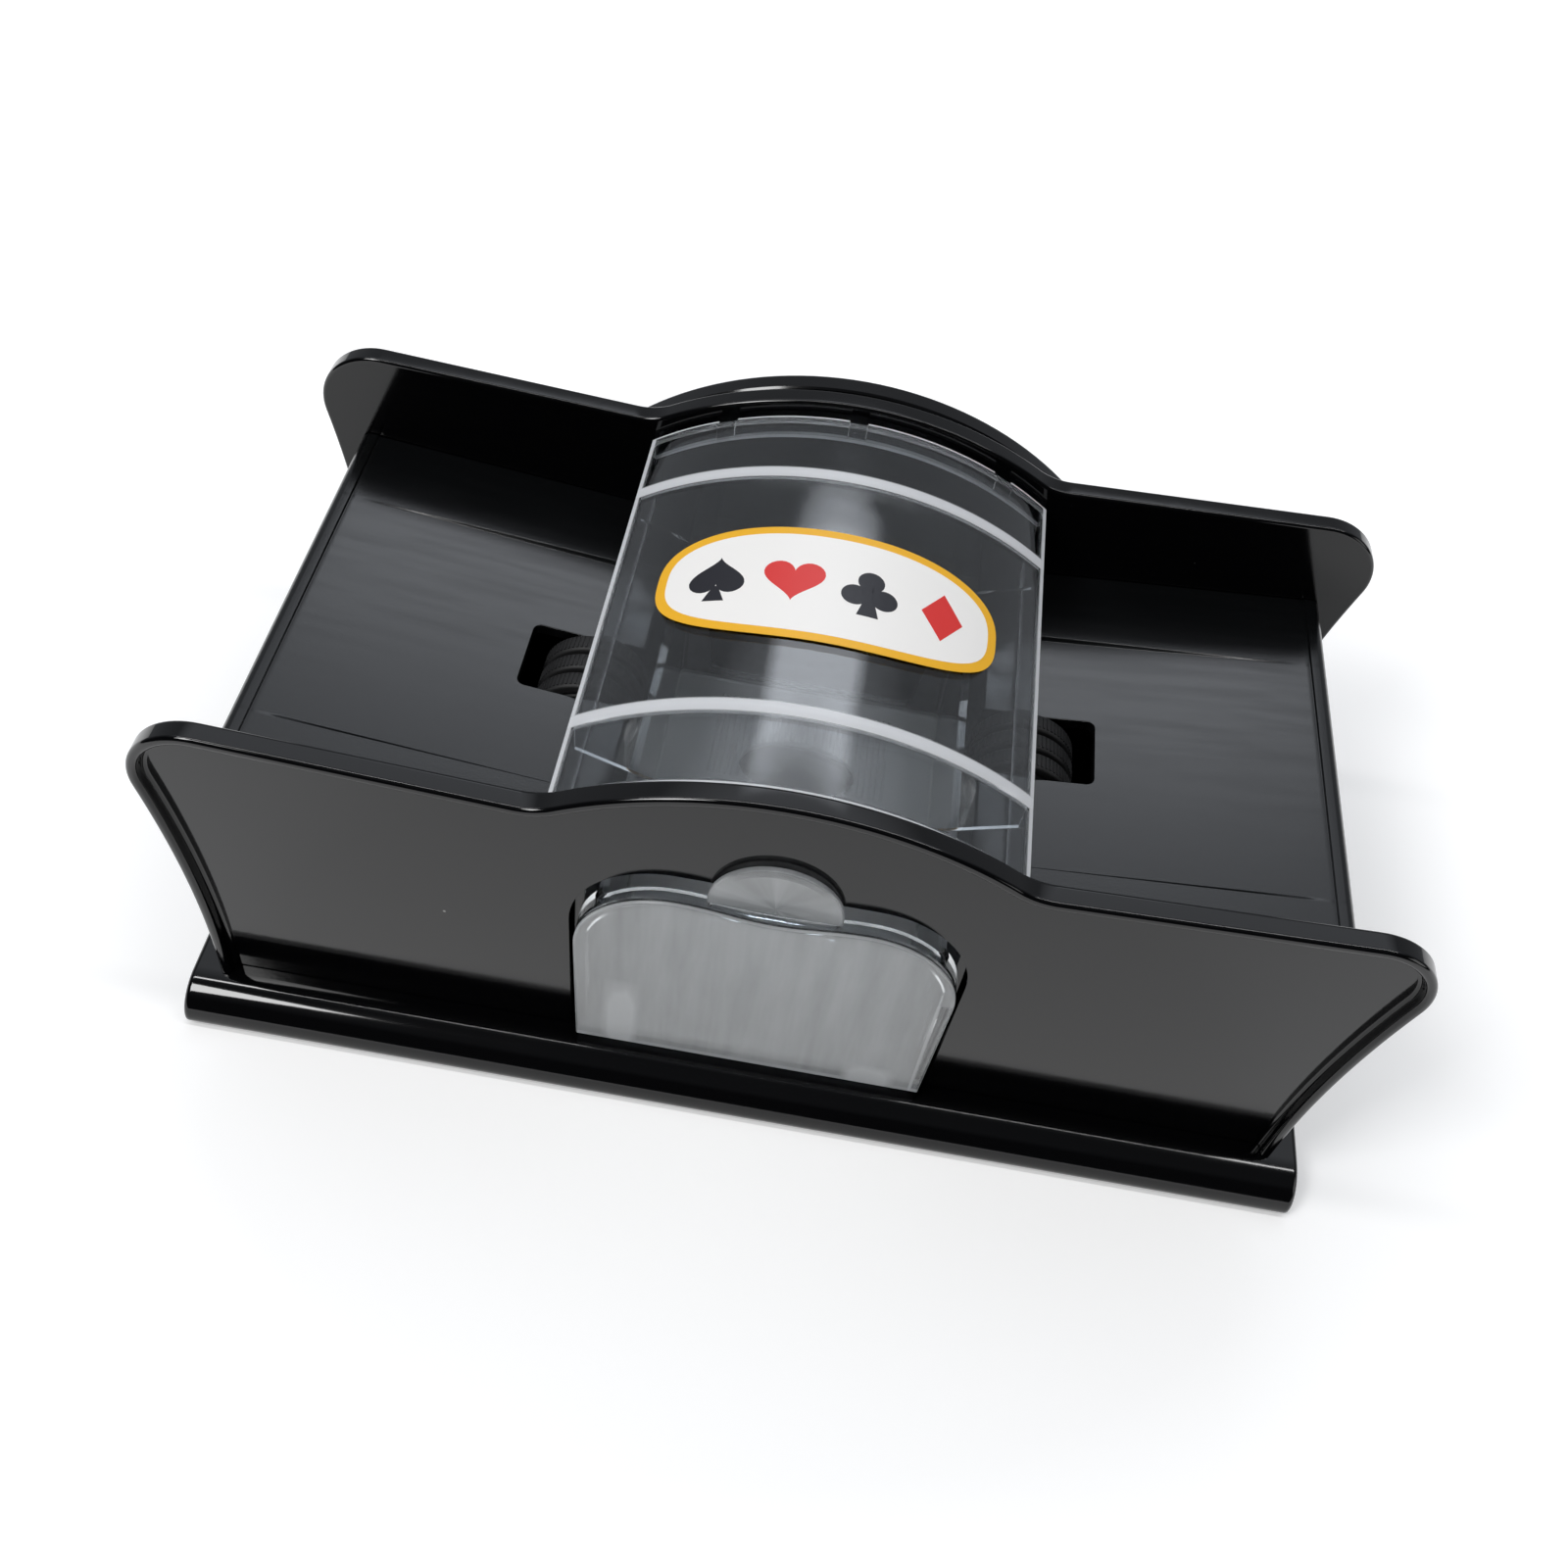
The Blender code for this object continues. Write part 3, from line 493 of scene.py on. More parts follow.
def shrink_wrap(name, colour):
    """Printed film shrunk on a can: glossy, with faint lengthways wrinkles."""
    made, tree, place = finish(name)
    bump = bumped(tree, noise(tree, place, 500.0, 2.0, (1.0, 0.08, 1.0)), 0.1, 0.0001)
    return coated(made, principled(tree, linear(colour), 0.22, IOR=1.5, Normal=bump))


WRAPS = (shrink_wrap("dark_printed_wrap", "16233f"), shrink_wrap("gold_printed_band", "b98a2e"), ZINC)
CELL_LENGTH, CELL_X, CELL_PITCH, CELL_Z = 50.5, -94.4, 14.6, 10.8


def cell(name, surfaces):
    """An AA cell, positive nub at the top, in (r, z) along Z: wrap, gold band, plated ends."""
    stops = ((0.0, 0.3, 2), (4.8, 0.3, 2), (4.8, 0.0, 0), (6.7, 0.0, 0), (7.1, 0.4, 0), (7.1, 36.0, 0),
             (7.1, 48.7, 1), (6.7, 49.1, 1), (5.4, 49.1, 1), (5.4, 48.8, 2), (2.7, 48.8, 2), (2.7, 50.2, 2),
             (2.4, 50.5, 2), (0.0, 50.5, 2))
    made = turned(name, [(r, z) for r, z, _ in stops], surfaces[0], 40)
    for surface in surfaces[1:]:
        made.data.materials.append(surface)
    for face in made.data.polygons:
        middle = face.center
        r, z = Vector((middle.x, middle.y)).length / MM, middle.z / MM
        bright = z > 48.95 and r < 5.4 or z > 49.2 or z < 0.35 and r < 4.8
        face.material_index = 2 if bright else 1 if z > 36.0 else 0
    return smoothed(made, 30)


for i in range(4):
    facing = 1 if i % 2 else -1
    sleeve = cell(f"aa_cell_{i + 1}", WRAPS)
    stand = Matrix.Rotation(math.radians(90 * -facing), 4, "X")
    start = facing * (22.8 - CELL_LENGTH)
    moved(sleeve, Matrix.Translation(Vector((CELL_X + i * CELL_PITCH, start, CELL_Z)) * MM) @ stand)
    hand_over(sleeve, "housing", "battery_wrap", f"battery_{i + 1}")


# ---- battery door ----
# A flat black ABS lid let into the base, with a finger recess and a row of grip ribs.
lid_outline = rounded_box((-100.7, -26.7), (-44.3, 26.7), 0.9)
door = slab("battery_lid", lid_outline, edged(1.0, 2.9, 0.3), GLOSS_ABS, "Z")
cut(door, rounded_box((-80, 18), (-65, 23), 2.2), [(0, 0), (0.5, 1.8)], "Z")
for step in range(6):
    low = -20.0 + 3.0 * step
    cut(door, rounded_box((-84, low), (-61, low + 1.2), 0.4, 2), [(0, 0), (0.3, 1.35)], "Z")
hand_over(smoothed(door), "battery_door", "black_plastic", "battery_door")


# ---- chassis ----
# One black ABS moulding: two sloping trays with a sunk middle for the cards, the end walls and the
# card well. The tray floors come from a spark-textured mould, so they are satin and show a long sheen.
def textured_abs(name):
    """Spark-textured ABS: a fine pebbled skin, satin, with a few faint drag marks along the trays."""
    made, tree, place = finish(name)
    wear = ranged(tree, noise(tree, place, 60.0, 4.0, (0.6, 6.0, 1.0)), 0.4, 0.75, 0.20, 0.25)
    bump = bumped(tree, noise(tree, place, 2400.0, 2.0), 0.12, 0.0001)
    return coated(made, principled(tree, linear("08090a"), wear, IOR=1.53, Normal=bump))


TRAY_ABS = textured_abs("spark_textured_abs")
TRAY_END, TRAY_TOP, WELL_X, WALL = 111.6, 67.5, 36.5, 2.0
TRAY_SLOPE = math.tan(math.radians(5.58))
CREASE_Y, CREASE_DEEP, CREASE_END, CREASE_SOFT = 32.2, 1.1, 106.5, 0.9
TRAY_FOOT, TRAY_SKIN, TRAY_DEEP_Y = 9.6, 2.2, 53.2


def tray_height(x, y):
    """Height of the tray floor: it slopes to the middle, and is sunk between the creases."""
    along = max(0.0, min(1.0, (CREASE_END - x) / (CREASE_END - WELL_X)))
    inside = max(0.0, min(1.0, (CREASE_Y + CREASE_SOFT / 2 - abs(y)) / CREASE_SOFT))
    return TRAY_TOP - (TRAY_END - x) * TRAY_SLOPE - CREASE_DEEP * along * inside * inside * (3 - 2 * inside)


def chassis_ring(y):
    """One slice of the chassis, in (x, z): right half from the well's floor round, then its mirror."""
    lip, end_wall = 2.4, TRAY_END - WALL
    stations = (WELL_X + 0.6, 42.0, 60.0, 80.0, 100.0, 104.0, CREASE_END, 107.2)
    floor = [(x, tray_height(x, y)) for x in stations]
    groove = [(107.5, TRAY_TOP - 0.5), (107.8, TRAY_TOP - 0.1)]
    roll = arc(TRAY_END - lip, TRAY_TOP - lip, lip, 88, 0, 8)
    inner, under = WELL_X + WALL, TRAY_SKIN + 1.1
    right = [(WELL_X, TRAY_FOOT + 1.6), (WELL_X, tray_height(WELL_X, y) - 0.6), *floor, *groove, *roll,
             (TRAY_END, TRAY_FOOT), (end_wall, TRAY_FOOT), (end_wall, tray_height(end_wall, 50) - under),
             (inner, tray_height(inner, 50) - under), (inner, TRAY_FOOT)]
    return [(x, y, z) for x, z in right] + [(-x, y, z) for x, z in reversed(right)]


fall = [CREASE_Y + CREASE_SOFT * (k / 8 - 0.5) for k in range(9)]
slices = [-TRAY_DEEP_Y, -52, *[-y for y in reversed(fall)], -20, -9, 9, 20, *fall, 52, TRAY_DEEP_Y]
chassis = shell_between("tray_chassis", [chassis_ring(y) for y in slices], TRAY_ABS)
add(chassis, rounded_box((-37.6, 10.4), (37.6, 58), 0.3, 1), [(0, 50.9), (0, 52.9)])
for side in (-1, 1):
    near, far = sorted((side * 33.0, side * 60.8))
    cut(chassis, rounded_box((near, -8.7), (far, 8.7), 1.6), [(0, 39), (0, 75)], "Z")
cut(chassis, circle(0, 40, 6.4, 40), [(0, 105), (0, 115)], "X")
hand_over(eased(chassis, 0.3, 2, 55), "housing", "black_plastic", "chassis")


# ---- front and back plates ----
# Two mirror-image black ABS mouldings with polished faces and a beaded rim, flared at the ends and
# raised in the middle. The front one has the drawer's window; both carry the rollers' bearings.
PLATE_IN, PLATE_RIM, WEB, RIM_WALL = 53.5, 58.3, 1.8, 2.2
PLATE_FOOT, FOOT_X, FLARE_FROM = 9.6, 113.6, 16.0
LOBE_X, LOBE_Z, LOBE_R = 106.4, 74.5, 13.6
EDGE_SLOPE = math.radians(3.07)
WAVE_R, WAVE_Z, WAVE_FILLET = 82.0, 16.1, 14.0
ROLLER_X, ROLLER_Z = 46.8, 51.5


def plate_outline(inset, foot=PLATE_FOOT):
    """Flared ends, round lobes, a falling top edge and a rise in the middle, in (x, z)."""
    rise, across_x = FLARE_FROM - LOBE_Z, FOOT_X - LOBE_X
    flare_r = (rise ** 2 + across_x ** 2 - LOBE_R ** 2) / (2 * (LOBE_R - across_x))
    flare_x = FOOT_X + flare_r
    tangent = math.degrees(math.atan2(LOBE_Z - FLARE_FROM, LOBE_X - flare_x))
    edge = math.degrees(EDGE_SLOPE) + 90
    normal = Vector((math.cos(math.radians(edge)), math.sin(math.radians(edge))))
    along = Vector((-normal.y, normal.x))
    start = Vector((LOBE_X, LOBE_Z - WAVE_Z)) + normal * (LOBE_R + WAVE_FILLET)
    half = start.dot(along)
    run = -half - math.sqrt(half ** 2 - start.length_squared + (WAVE_R + WAVE_FILLET) ** 2)
    fillet = start + along * run
    meet = math.degrees(math.atan2(fillet.y, fillet.x))
    right = [(FOOT_X - inset, foot), *arc(flare_x, FLARE_FROM, flare_r + inset, 180, tangent, 20),
             *arc(LOBE_X, LOBE_Z, LOBE_R - inset, tangent - 180, edge, 22),
             *arc(fillet.x, fillet.y + WAVE_Z, WAVE_FILLET + inset, edge + 180, meet + 180, 12),
             *arc(0, WAVE_Z, WAVE_R - inset, meet, 90, 24)[1:]]
    return mirrored(right)


def window_outline(inset):
    """The drawer's opening in the front plate."""
    right = [(38.4 - inset, 5.0), *arc(19.2, 49.3, 20.0 - inset, 0, 90, 18)]
    return mirrored(right)


def plate(name, side):
    """One plate: a slab with a rounded rim, and a hollow with a filleted floor cut in its outer face."""
    bead, land = (RIM_WALL - 0.2) / 2, PLATE_RIM - PLATE_IN
    turn = quarter(6)
    inner = [(0.8 * (1 - math.sin(t)), 0.8 * (1 - math.cos(t))) for t in turn]
    outer = [(bead * (1 - math.cos(t)), land - bead * (1 - math.sin(t))) for t in turn]
    made = slab(name, plate_outline, [(i, side * (PLATE_IN + y)) for i, y in inner + outer], GLOSS_ABS)
    fillet = [(RIM_WALL + 0.9 * (1 - math.sin(t)), WEB + 0.9 * (1 - math.cos(t))) for t in turn]
    mouth = [(RIM_WALL - bead * (1 - math.cos(t)), land - bead * (1 - math.sin(t))) for t in turn]
    mouth.append((RIM_WALL - bead, land + 3))
    recess = slab("recess", lambda inset: plate_outline(inset, 0.0),
                  [(i, side * (PLATE_IN + y)) for i, y in fillet + mouth])
    combine(made, recess)
    for x in (-ROLLER_X, ROLLER_X):
        ends = [(0, side * (PLATE_IN - 3.3)), (0, side * (PLATE_IN + 0.9))]
        add(made, circle(x, ROLLER_Z, 6.4), ends)
        deep = PLATE_IN - 0.05 if side < 0 else PLATE_IN + WEB + 2
        cut(made, circle(x, ROLLER_Z, 5.0), [(0, side * 45), (0, side * deep)])
    return made


front_plate = plate("front_side_plate", -1)
cut(front_plate, window_outline, [(0, -70), (0, -45)])
hand_over(eased(front_plate, 0.3, 3, 50), "housing", "black_plastic", "front_plate")

COVER_SCREWS = ((-28.0, 82.0), (28.0, 82.0), (-34.0, 27.0), (34.0, 27.0))
IDLER_X = ROLLER_X / 3
back_plate = plate("back_side_plate", 1)
for x, z in COVER_SCREWS:
    add(back_plate, circle(x, z, 3.2, 24), [(0, 54.4), (0, 61.2), (0.3, 61.5)])
    cut(back_plate, circle(x, z, 1.7, 24), [(0, 55.8), (0, 63)])
for x in (-IDLER_X, IDLER_X):
    cut(back_plate, circle(x, ROLLER_Z, 2.3, 24), [(0, 50), (0, 60)])
cut(back_plate, circle(58.0, 33.2, 3.5, 28), [(0, 50), (0, 60)])
hand_over(eased(back_plate, 0.25, 2, 50), "housing", "black_plastic", "back_plate")


# ---- rollers ----
# Each roller is a ground steel shaft in two sintered bronze bushes, with a black ABS hub that carries
# three rubber tyres. The tyres have a fine crosswise tread that grips the bottom card.
def ground_steel(name):
    """Ground steel rod: bright, with fine rings left by the grinding wheel."""
    made, tree, place = finish(name)
    rings = node(tree, "ShaderNodeTexWave", {"Vector": place, "Scale": 900.0, "Distortion": 2.0,
                 "Detail": 2.0}, bands_direction="Y").outputs["Fac"]
    spread = ranged(tree, rings, 0.0, 1.0, 0.16, 0.3)
    return coated(made, principled(tree, linear("b9bbbe"), spread, Metallic=1.0))


def sintered_bronze(name):
    """Oil-soaked sintered bronze: brown, dull and finely porous."""
    made, tree, place = finish(name)
    pores = noise(tree, place, 2600.0, 4.0)
    tone, bump = tinted(tree, pores, "8f6a3c", "bf9458"), bumped(tree, pores, 0.3, 0.0001)
    return coated(made, principled(tree, tone, 0.42, Metallic=1.0, Normal=bump))


def tread_tree():
    """Fine ribs set round a tyre: each is a thin bar on the rim, along the roller's axis."""
    tree, given, out = geometry_tree("tread", {"Radius": 0.0115, "Width": 0.004, "Rib": 0.0005, "Count": 60})
    turn = node(tree, "GeometryNodeMeshCircle", {"Vertices": given.outputs["Count"],
                "Radius": given.outputs["Radius"]})
    size = node(tree, "ShaderNodeCombineXYZ", {"X": given.outputs["Rib"], "Y": given.outputs["Rib"],
                "Z": given.outputs["Width"]})
    bar = node(tree, "GeometryNodeMeshCube", {"Size": size.outputs[0]})
    outward = node(tree, "GeometryNodeInputPosition")
    face = node(tree, "FunctionNodeAlignRotationToVector", {"Vector": outward.outputs[0]}, axis="X",
                pivot_axis="Z")
    ribs = node(tree, "GeometryNodeInstanceOnPoints", {"Points": turn.outputs["Mesh"],
                "Instance": bar.outputs["Mesh"], "Rotation": face.outputs[0]})
    return realised(tree, ribs, TYRE_RUBBER, out)


TYRE_RUBBER = dull_rubber("moulded_tyre_rubber", "111112", "202021")
SHAFT_STEEL = ground_steel("ground_shaft_steel")
BUSH_BRONZE = sintered_bronze("sintered_bush_bronze")
TREAD = tread_tree()
TYRE_R, TYRE_WIDE, HUB_R = 11.5, 4.4, 9.0
for side, word in ((-1, "left"), (1, "right")):
    body, x = f"roller_{word}", side * ROLLER_X
    lie = Matrix.Translation(Vector((x, 0, ROLLER_Z)) * MM) @ Matrix.Rotation(-math.pi / 2, 4, "X")
    spindle = turned(f"spindle_{word}", [(0, -53.0), (1.7, -53.0), (2.0, -52.7), (2.0, 60.9), (1.7, 61.2),
                                         (0, 61.2)], SHAFT_STEEL, 32)
    hand_over(smoothed(moved(spindle, lie), 30), body, "bright_steel", f"roller_shaft_{word}")
    hub = turned(f"hub_{word}", [(2.3, -8.1), (8.7, -8.1), (HUB_R, -7.8), (HUB_R, 7.8), (8.7, 8.1),
                                 (2.3, 8.1), (2.3, -8.1)], SATIN_ABS, 48)
    hand_over(smoothed(moved(hub, lie), 30), body, "black_plastic", f"roller_hub_{word}")
    for number, y in enumerate((-5.4, 0.0, 5.4), 1):
        half, crown = TYRE_WIDE / 2, 0.25
        tyre = turned(f"tyre_{word}_{number}",
                      [(9.3, y - half), (TYRE_R - 0.9, y - half), (TYRE_R - 0.45, y - half + 0.25),
                       (TYRE_R - crown, y - half + 0.8), (TYRE_R - crown + 0.08, y),
                       (TYRE_R - crown, y + half - 0.8), (TYRE_R - 0.45, y + half - 0.25),
                       (TYRE_R - 0.9, y + half), (9.3, y + half), (9.3, y - half)], TYRE_RUBBER, 64)
        smoothed(tyre, 50)
        tread = grown("tread", TREAD, Radius=(TYRE_R - 0.3) * MM, Width=(TYRE_WIDE - 1.4) * MM,
                      Rib=0.45 * MM, Count=72)
        moved(tread, Matrix.Translation((0, 0, y * MM)))
        with bpy.context.temp_override(active_object=tyre, selected_editable_objects=[tyre, tread]):
            bpy.ops.object.join()
        hand_over(moved(tyre, lie), body, "black_rubber", f"roller_tyre_{word}_{number}")
    for place_word in ("front", "rear"):
        recoloured(f"bush_{place_word}_{word}", BUSH_BRONZE)
    recoloured(f"idler_pin_{word}", SHAFT_STEEL)


# ---- gear train ----
# Four equal nylon gears in a row couple the rollers so that they turn opposite ways, and the motor's
# pinion drives the last. Natural moulded nylon is milky white, satin and a little translucent.
def moulded_nylon(name):
    """Natural nylon: milky, satin, a little light passes into it."""
    made, tree, place = finish(name)
    tone = tinted(tree, noise(tree, place, 160.0, 3.0), "e6e2d6", "d5d0c1")
    return coated(made, principled(tree, tone, 0.42, IOR=1.53, Subsurface_Weight=0.3,
                                   Subsurface_Scale=0.0015))


NYLON = moulded_nylon("natural_moulded_nylon")
for gear_node in ("roller_gear_left", "roller_gear_right", "idler_gear_left", "idler_gear_right",
                  "motor_pinion"):
    recoloured(gear_node, NYLON)


# ---- motor, leads and switch ----
# A small can motor in a screwed-down ABS saddle, wired through a sprung push switch on the right
# end wall to the cells. The can is drawn steel, and the leads are PVC.
def pvc(name, colour):
    """Lead insulation: smooth, slightly glossy, faintly mottled."""
    made, tree, place = finish(name)
    spread = ranged(tree, noise(tree, place, 300.0, 3.0), 0.0, 1.0, 0.3, 0.45)
    return coated(made, principled(tree, linear(colour), spread, IOR=1.53))


recoloured("motor_can", plated_steel("drawn_can_steel", "9fa2a6", 0.28))
recoloured("motor_bracket", SATIN_ABS)
recoloured("motor_lead", pvc("red_pvc_lead", "a8201c"))
recoloured("switch_lead", pvc("black_pvc_lead", "1c1c1d"))
recoloured("switch_body", SATIN_ABS)
recoloured("button_spring", SPRING_STEEL)

button = turned("push_button", [(0, 104.7), (7.7, 104.7), (8.0, 105.0), (8.0, 106.4), (7.7, 106.7),
                                (6.0, 106.7), (6.0, 113.4), (5.9, 113.8), (5.5, 114.2), (4.9, 114.4),
                                (4.0, 114.3), (0, 114.0)], GLOSS_ABS, 56)
moved(button, Matrix.Translation((0, 0, 0.040)) @ Matrix.Rotation(math.pi / 2, 4, "Y"))
hand_over(smoothed(button, 40), "button", "black_plastic", "power_button")


# ---- gear cover ----
# An arched black ABS cap over the gears, screwed to the bosses on the back plate. Its front part is
# lower, to sit inside the plate's rim. Its face is polished, with a round edge and a sunk field.
COVER_R, COVER_Z, COVER_X, COVER_FOOT = 75.1, 23.0, 68.0, 20.0
COVER_FRONT, COVER_BACK, COVER_WALL, COVER_STEP = 55.6, 63.5, 1.6, 2.8


def cover_outline(inset, drop=0.0):
    """A flat-footed arch, in (x, z). Drop lowers the arch and leaves the foot."""
    half = COVER_X - inset
    edge = math.degrees(math.acos(half / (COVER_R - inset)))
    corner = 5.0
    right = [*arc(half - corner, COVER_FOOT + inset + corner, corner, 270, 360, 8),
             *arc(0, COVER_Z - drop, COVER_R - inset, edge, 90, 30)]
    return mirrored(right)


def lower_cover(inset):
    return cover_outline(inset, COVER_STEP)


cover = slab("gear_housing", cover_outline, [(0.4, PLATE_RIM + 0.3), (0, PLATE_RIM + 0.7)] + [
    (1.0 * (1 - math.cos(t)), COVER_BACK - 1.0 * (1 - math.sin(t))) for t in quarter(6)], GLOSS_ABS)
add(cover, lower_cover, [(0.2, COVER_FRONT), (0.2, PLATE_RIM + 1.5)])
hollow = [(COVER_WALL, COVER_FRONT - 4)] + [
    (COVER_WALL + 1.2 * (1 - math.cos(t)), COVER_BACK - COVER_WALL - 1.2 * (1 - math.sin(t)))
    for t in quarter(6)]
cut(cover, lower_cover, hollow)
cut(cover, cover_outline, [(9.4, COVER_BACK - 0.35), (9.0, COVER_BACK + 1)])
for x, z in COVER_SCREWS:
    cut(cover, circle(x, z, 1.7, 24), [(0, 55), (0, 70)])
hand_over(eased(cover, 0.2, 2, 50), "housing", "black_plastic", "gear_cover")

FACE_BACK = Matrix.Rotation(-math.pi / 2, 4, "X")
for number, (x, z) in enumerate(COVER_SCREWS, 1):
    screw = pan_screw(f"cover_fixing_{number}", 2.9, (x, COVER_BACK + 0.3, z), FACE_BACK, 31 * number)
    shank = slab("shank", circle(x, z, 1.3, 20), [(0, 57), (0, COVER_BACK + 0.4)], ZINC)
    hand_over(combine(screw, shank, "UNION"), "housing", "bright_steel", f"cover_screw_{number}")


# ---- card drawer ----
# A clear polystyrene tray with a box-like front cap and a scooped thumb tab. The cap's walls are
# moulded thicker and look milky, and the floor has fine grooves so that the cards don't stick to it.
def clear_styrene(name, haze_tree, milk):
    """Clear polystyrene: sharp and bright, with faint smears. haze_tree says where it is milky."""
    made, tree, place = finish(name)
    polish = ranged(tree, noise(tree, place, 45.0, 5.0), 0.4, 0.75, 0.0, 0.06)
    flow = bumped(tree, noise(tree, place, 70.0, 1.0), 0.04, 0.001)
    clear = principled(tree, linear("f6f9fb"), polish, IOR=1.58, Transmission_Weight=1.0, Normal=flow)
    milky = principled(tree, linear(milk), 0.35, IOR=1.58, Transmission_Weight=0.3)
    haze = haze_tree(tree, place, node(tree, "ShaderNodeSeparateXYZ", {0: place}))
    haze = node(tree, "ShaderNodeClamp", {"Value": haze}).outputs[0]
    return coated(made, node(tree, "ShaderNodeMixShader", {0: haze, 1: clear, 2: milky}).outputs[0])


DRAWER_X, DRAWER_FLOOR, DRAWER_TOP, DRAWER_BACK = 34.8, 11.6, 50.0, 47.5
DRAWER_WALL, CAP_FRONT, CAP_BACK, CAP_X, CAP_TOP, CAP_DIP = 1.8, -59.4, -53.6, 37.6, 65.8, 64.0
CAP_RETURN = -55.6
TAB_R, TAB_Z, TAB_Y, TAB_LEAN = 12.9, 66.0, -56.45, 0.015
DISH_R, DISH_DEEP = 11.2, 0.6
# Painted light: how far the drawer's floor is made milky, so that it looks lit through the hood.
FLOOR_PAINTED_LIGHT = 0.75
UPRIGHT = (0.0, 0.047, 0.001)
# Two blotches of painted reflection, then the right wall made less milky and a milkier line along it: (from,
# to, softness) in x and in z, in metres, and strength.
CAP_MARKS = (
    ((-0.0285, -0.0265, 0.003), (0.016, 0.027, 0.010), 0.8),
    ((0.0235, 0.0275, 0.004), (0.014, 0.0165, 0.004), 0.7),
    ((0.0352, 1.0, 0.0002), UPRIGHT, -0.35),
    ((0.0344, 0.0348, 0.0002), UPRIGHT, 0.35))


def cap_outline(inset):
    """Round shoulders and a shallow dip under the thumb tab, in (x, z)."""
    corner = 19.0
    shoulder = arc(CAP_X - corner, CAP_TOP - corner, corner - inset, 0, 90, 18)
    dip = [(x, CAP_TOP - inset - (CAP_TOP - CAP_DIP) * math.cos(math.pi * x / 36) ** 2)
           for x in (18 - 18 * i / 12 for i in range(13))]
    right = [(CAP_X - 1.0 - inset, DRAWER_FLOOR + 0.8 + inset), *shoulder, *dip]
    return mirrored(right)


def cap_haze(tree, place, spot):
    """Milky: the skin of the cap's front, streaked and with blotches of painted reflection, the thumb tab, a
    thin band along the front edge as a painted highlight, and partly the floor as painted light.
    """
    x, y, z = (spot.outputs[axis] for axis in "XYZ")
    streaks = ranged(tree, noise(tree, place, 190.0, 3.0, (1.0, 1.0, 0.12)), 0.3, 0.7, 0.48, 0.70)
    # The two blotches are painted reflections of light in the cap's inner corners.
    marks = [product(tree, between(tree, x, *wide), between(tree, z, *tall), strength)
             for wide, tall, strength in CAP_MARKS]
    skin = product(tree, between(tree, y, -0.0620, (CAP_FRONT + 0.3) * MM, 0.0002),
                   chained(tree, "ADD", streaks, *marks))
    # Painted highlight: a thin milky line along the cap's rounded front edge.
    painted_edge_highlight = between(tree, y, (CAP_FRONT + 0.15) * MM, (CAP_FRONT + 0.6) * MM, 0.0001)
    from_tab = node(tree, "ShaderNodeCombineXYZ", {"X": x, "Y": chained(tree, "SUBTRACT", z, TAB_Z * MM)})
    outward = node(tree, "ShaderNodeVectorMath", {0: from_tab.outputs[0]}, operation="NORMALIZE").outputs[0]
    tab = product(tree, between(tree, z, (CAP_DIP + 0.4) * MM, 1.0, 0.0004),
                  between(tree, x, -TAB_R * MM, TAB_R * MM, 0.0001),
                  between(tree, y, (TAB_Y - 0.7) * MM, 1.0, 0.0001),
                  ranged(tree, noise(tree, outward, 1.8, 2.0), 0.35, 0.65, 0.5, 0.8))
    # Painted light: the floor is made partly milky so that it looks lit.
    floor = product(tree, between(tree, z, 0.0, 0.0140, 0.0006), FLOOR_PAINTED_LIGHT)
    return chained(tree, "MAXIMUM", skin, floor, tab, painted_edge_highlight)


DRAWER_CLEAR = clear_styrene("clear_drawer_styrene", cap_haze, "c6c9cb")
drawer = slab("card_drawer_moulding", rounded_box((-DRAWER_X, -55), (DRAWER_X, DRAWER_BACK), 2.5),
              [(0.8, DRAWER_FLOOR), (0.25, DRAWER_FLOOR + 0.25), (0, DRAWER_FLOOR + 0.8), (0, DRAWER_TOP)],
              DRAWER_CLEAR, "Z")
rounding = [(0.6 * (1 - math.sin(t)), CAP_FRONT + 0.6 * (1 - math.cos(t))) for t in quarter(6)]
add(drawer, cap_outline, [*rounding, (0, CAP_BACK)])
cut(drawer, cap_outline, [(2.4, CAP_FRONT + 2.0), (2.0, CAP_FRONT + 2.4), (2.0, CAP_BACK + 2)])
inner_x = DRAWER_X - DRAWER_WALL
space = rounded_box((-inner_x, CAP_RETURN), (inner_x, DRAWER_BACK - DRAWER_WALL), 1.5)
FLOOR_FACE = DRAWER_FLOOR + DRAWER_WALL
cut(drawer, space, [(0.4, FLOOR_FACE), (0, FLOOR_FACE + 0.4), (0, 70)], "Z")


def notch_outline(inset):
    """The U-shaped gap in the drawer's rear wall."""
    right = [*arc(22.5, FLOOR_FACE + 5.5, 3.0, 270, 355, 6), (30.0, 60.0)]
    return mirrored(right)


cut(drawer, notch_outline, [(0, DRAWER_BACK - 4), (0, DRAWER_BACK + 4)])


def oval(inset):
    """The push hole in the drawer's floor."""
    turn = [2 * math.pi * i / 48 for i in range(48)]
    return [((14.2 - inset) * math.cos(t), 22 + (8.5 - inset) * math.sin(t)) for t in turn]


cut(drawer, oval, [(0, 5), (0, 20)], "Z")


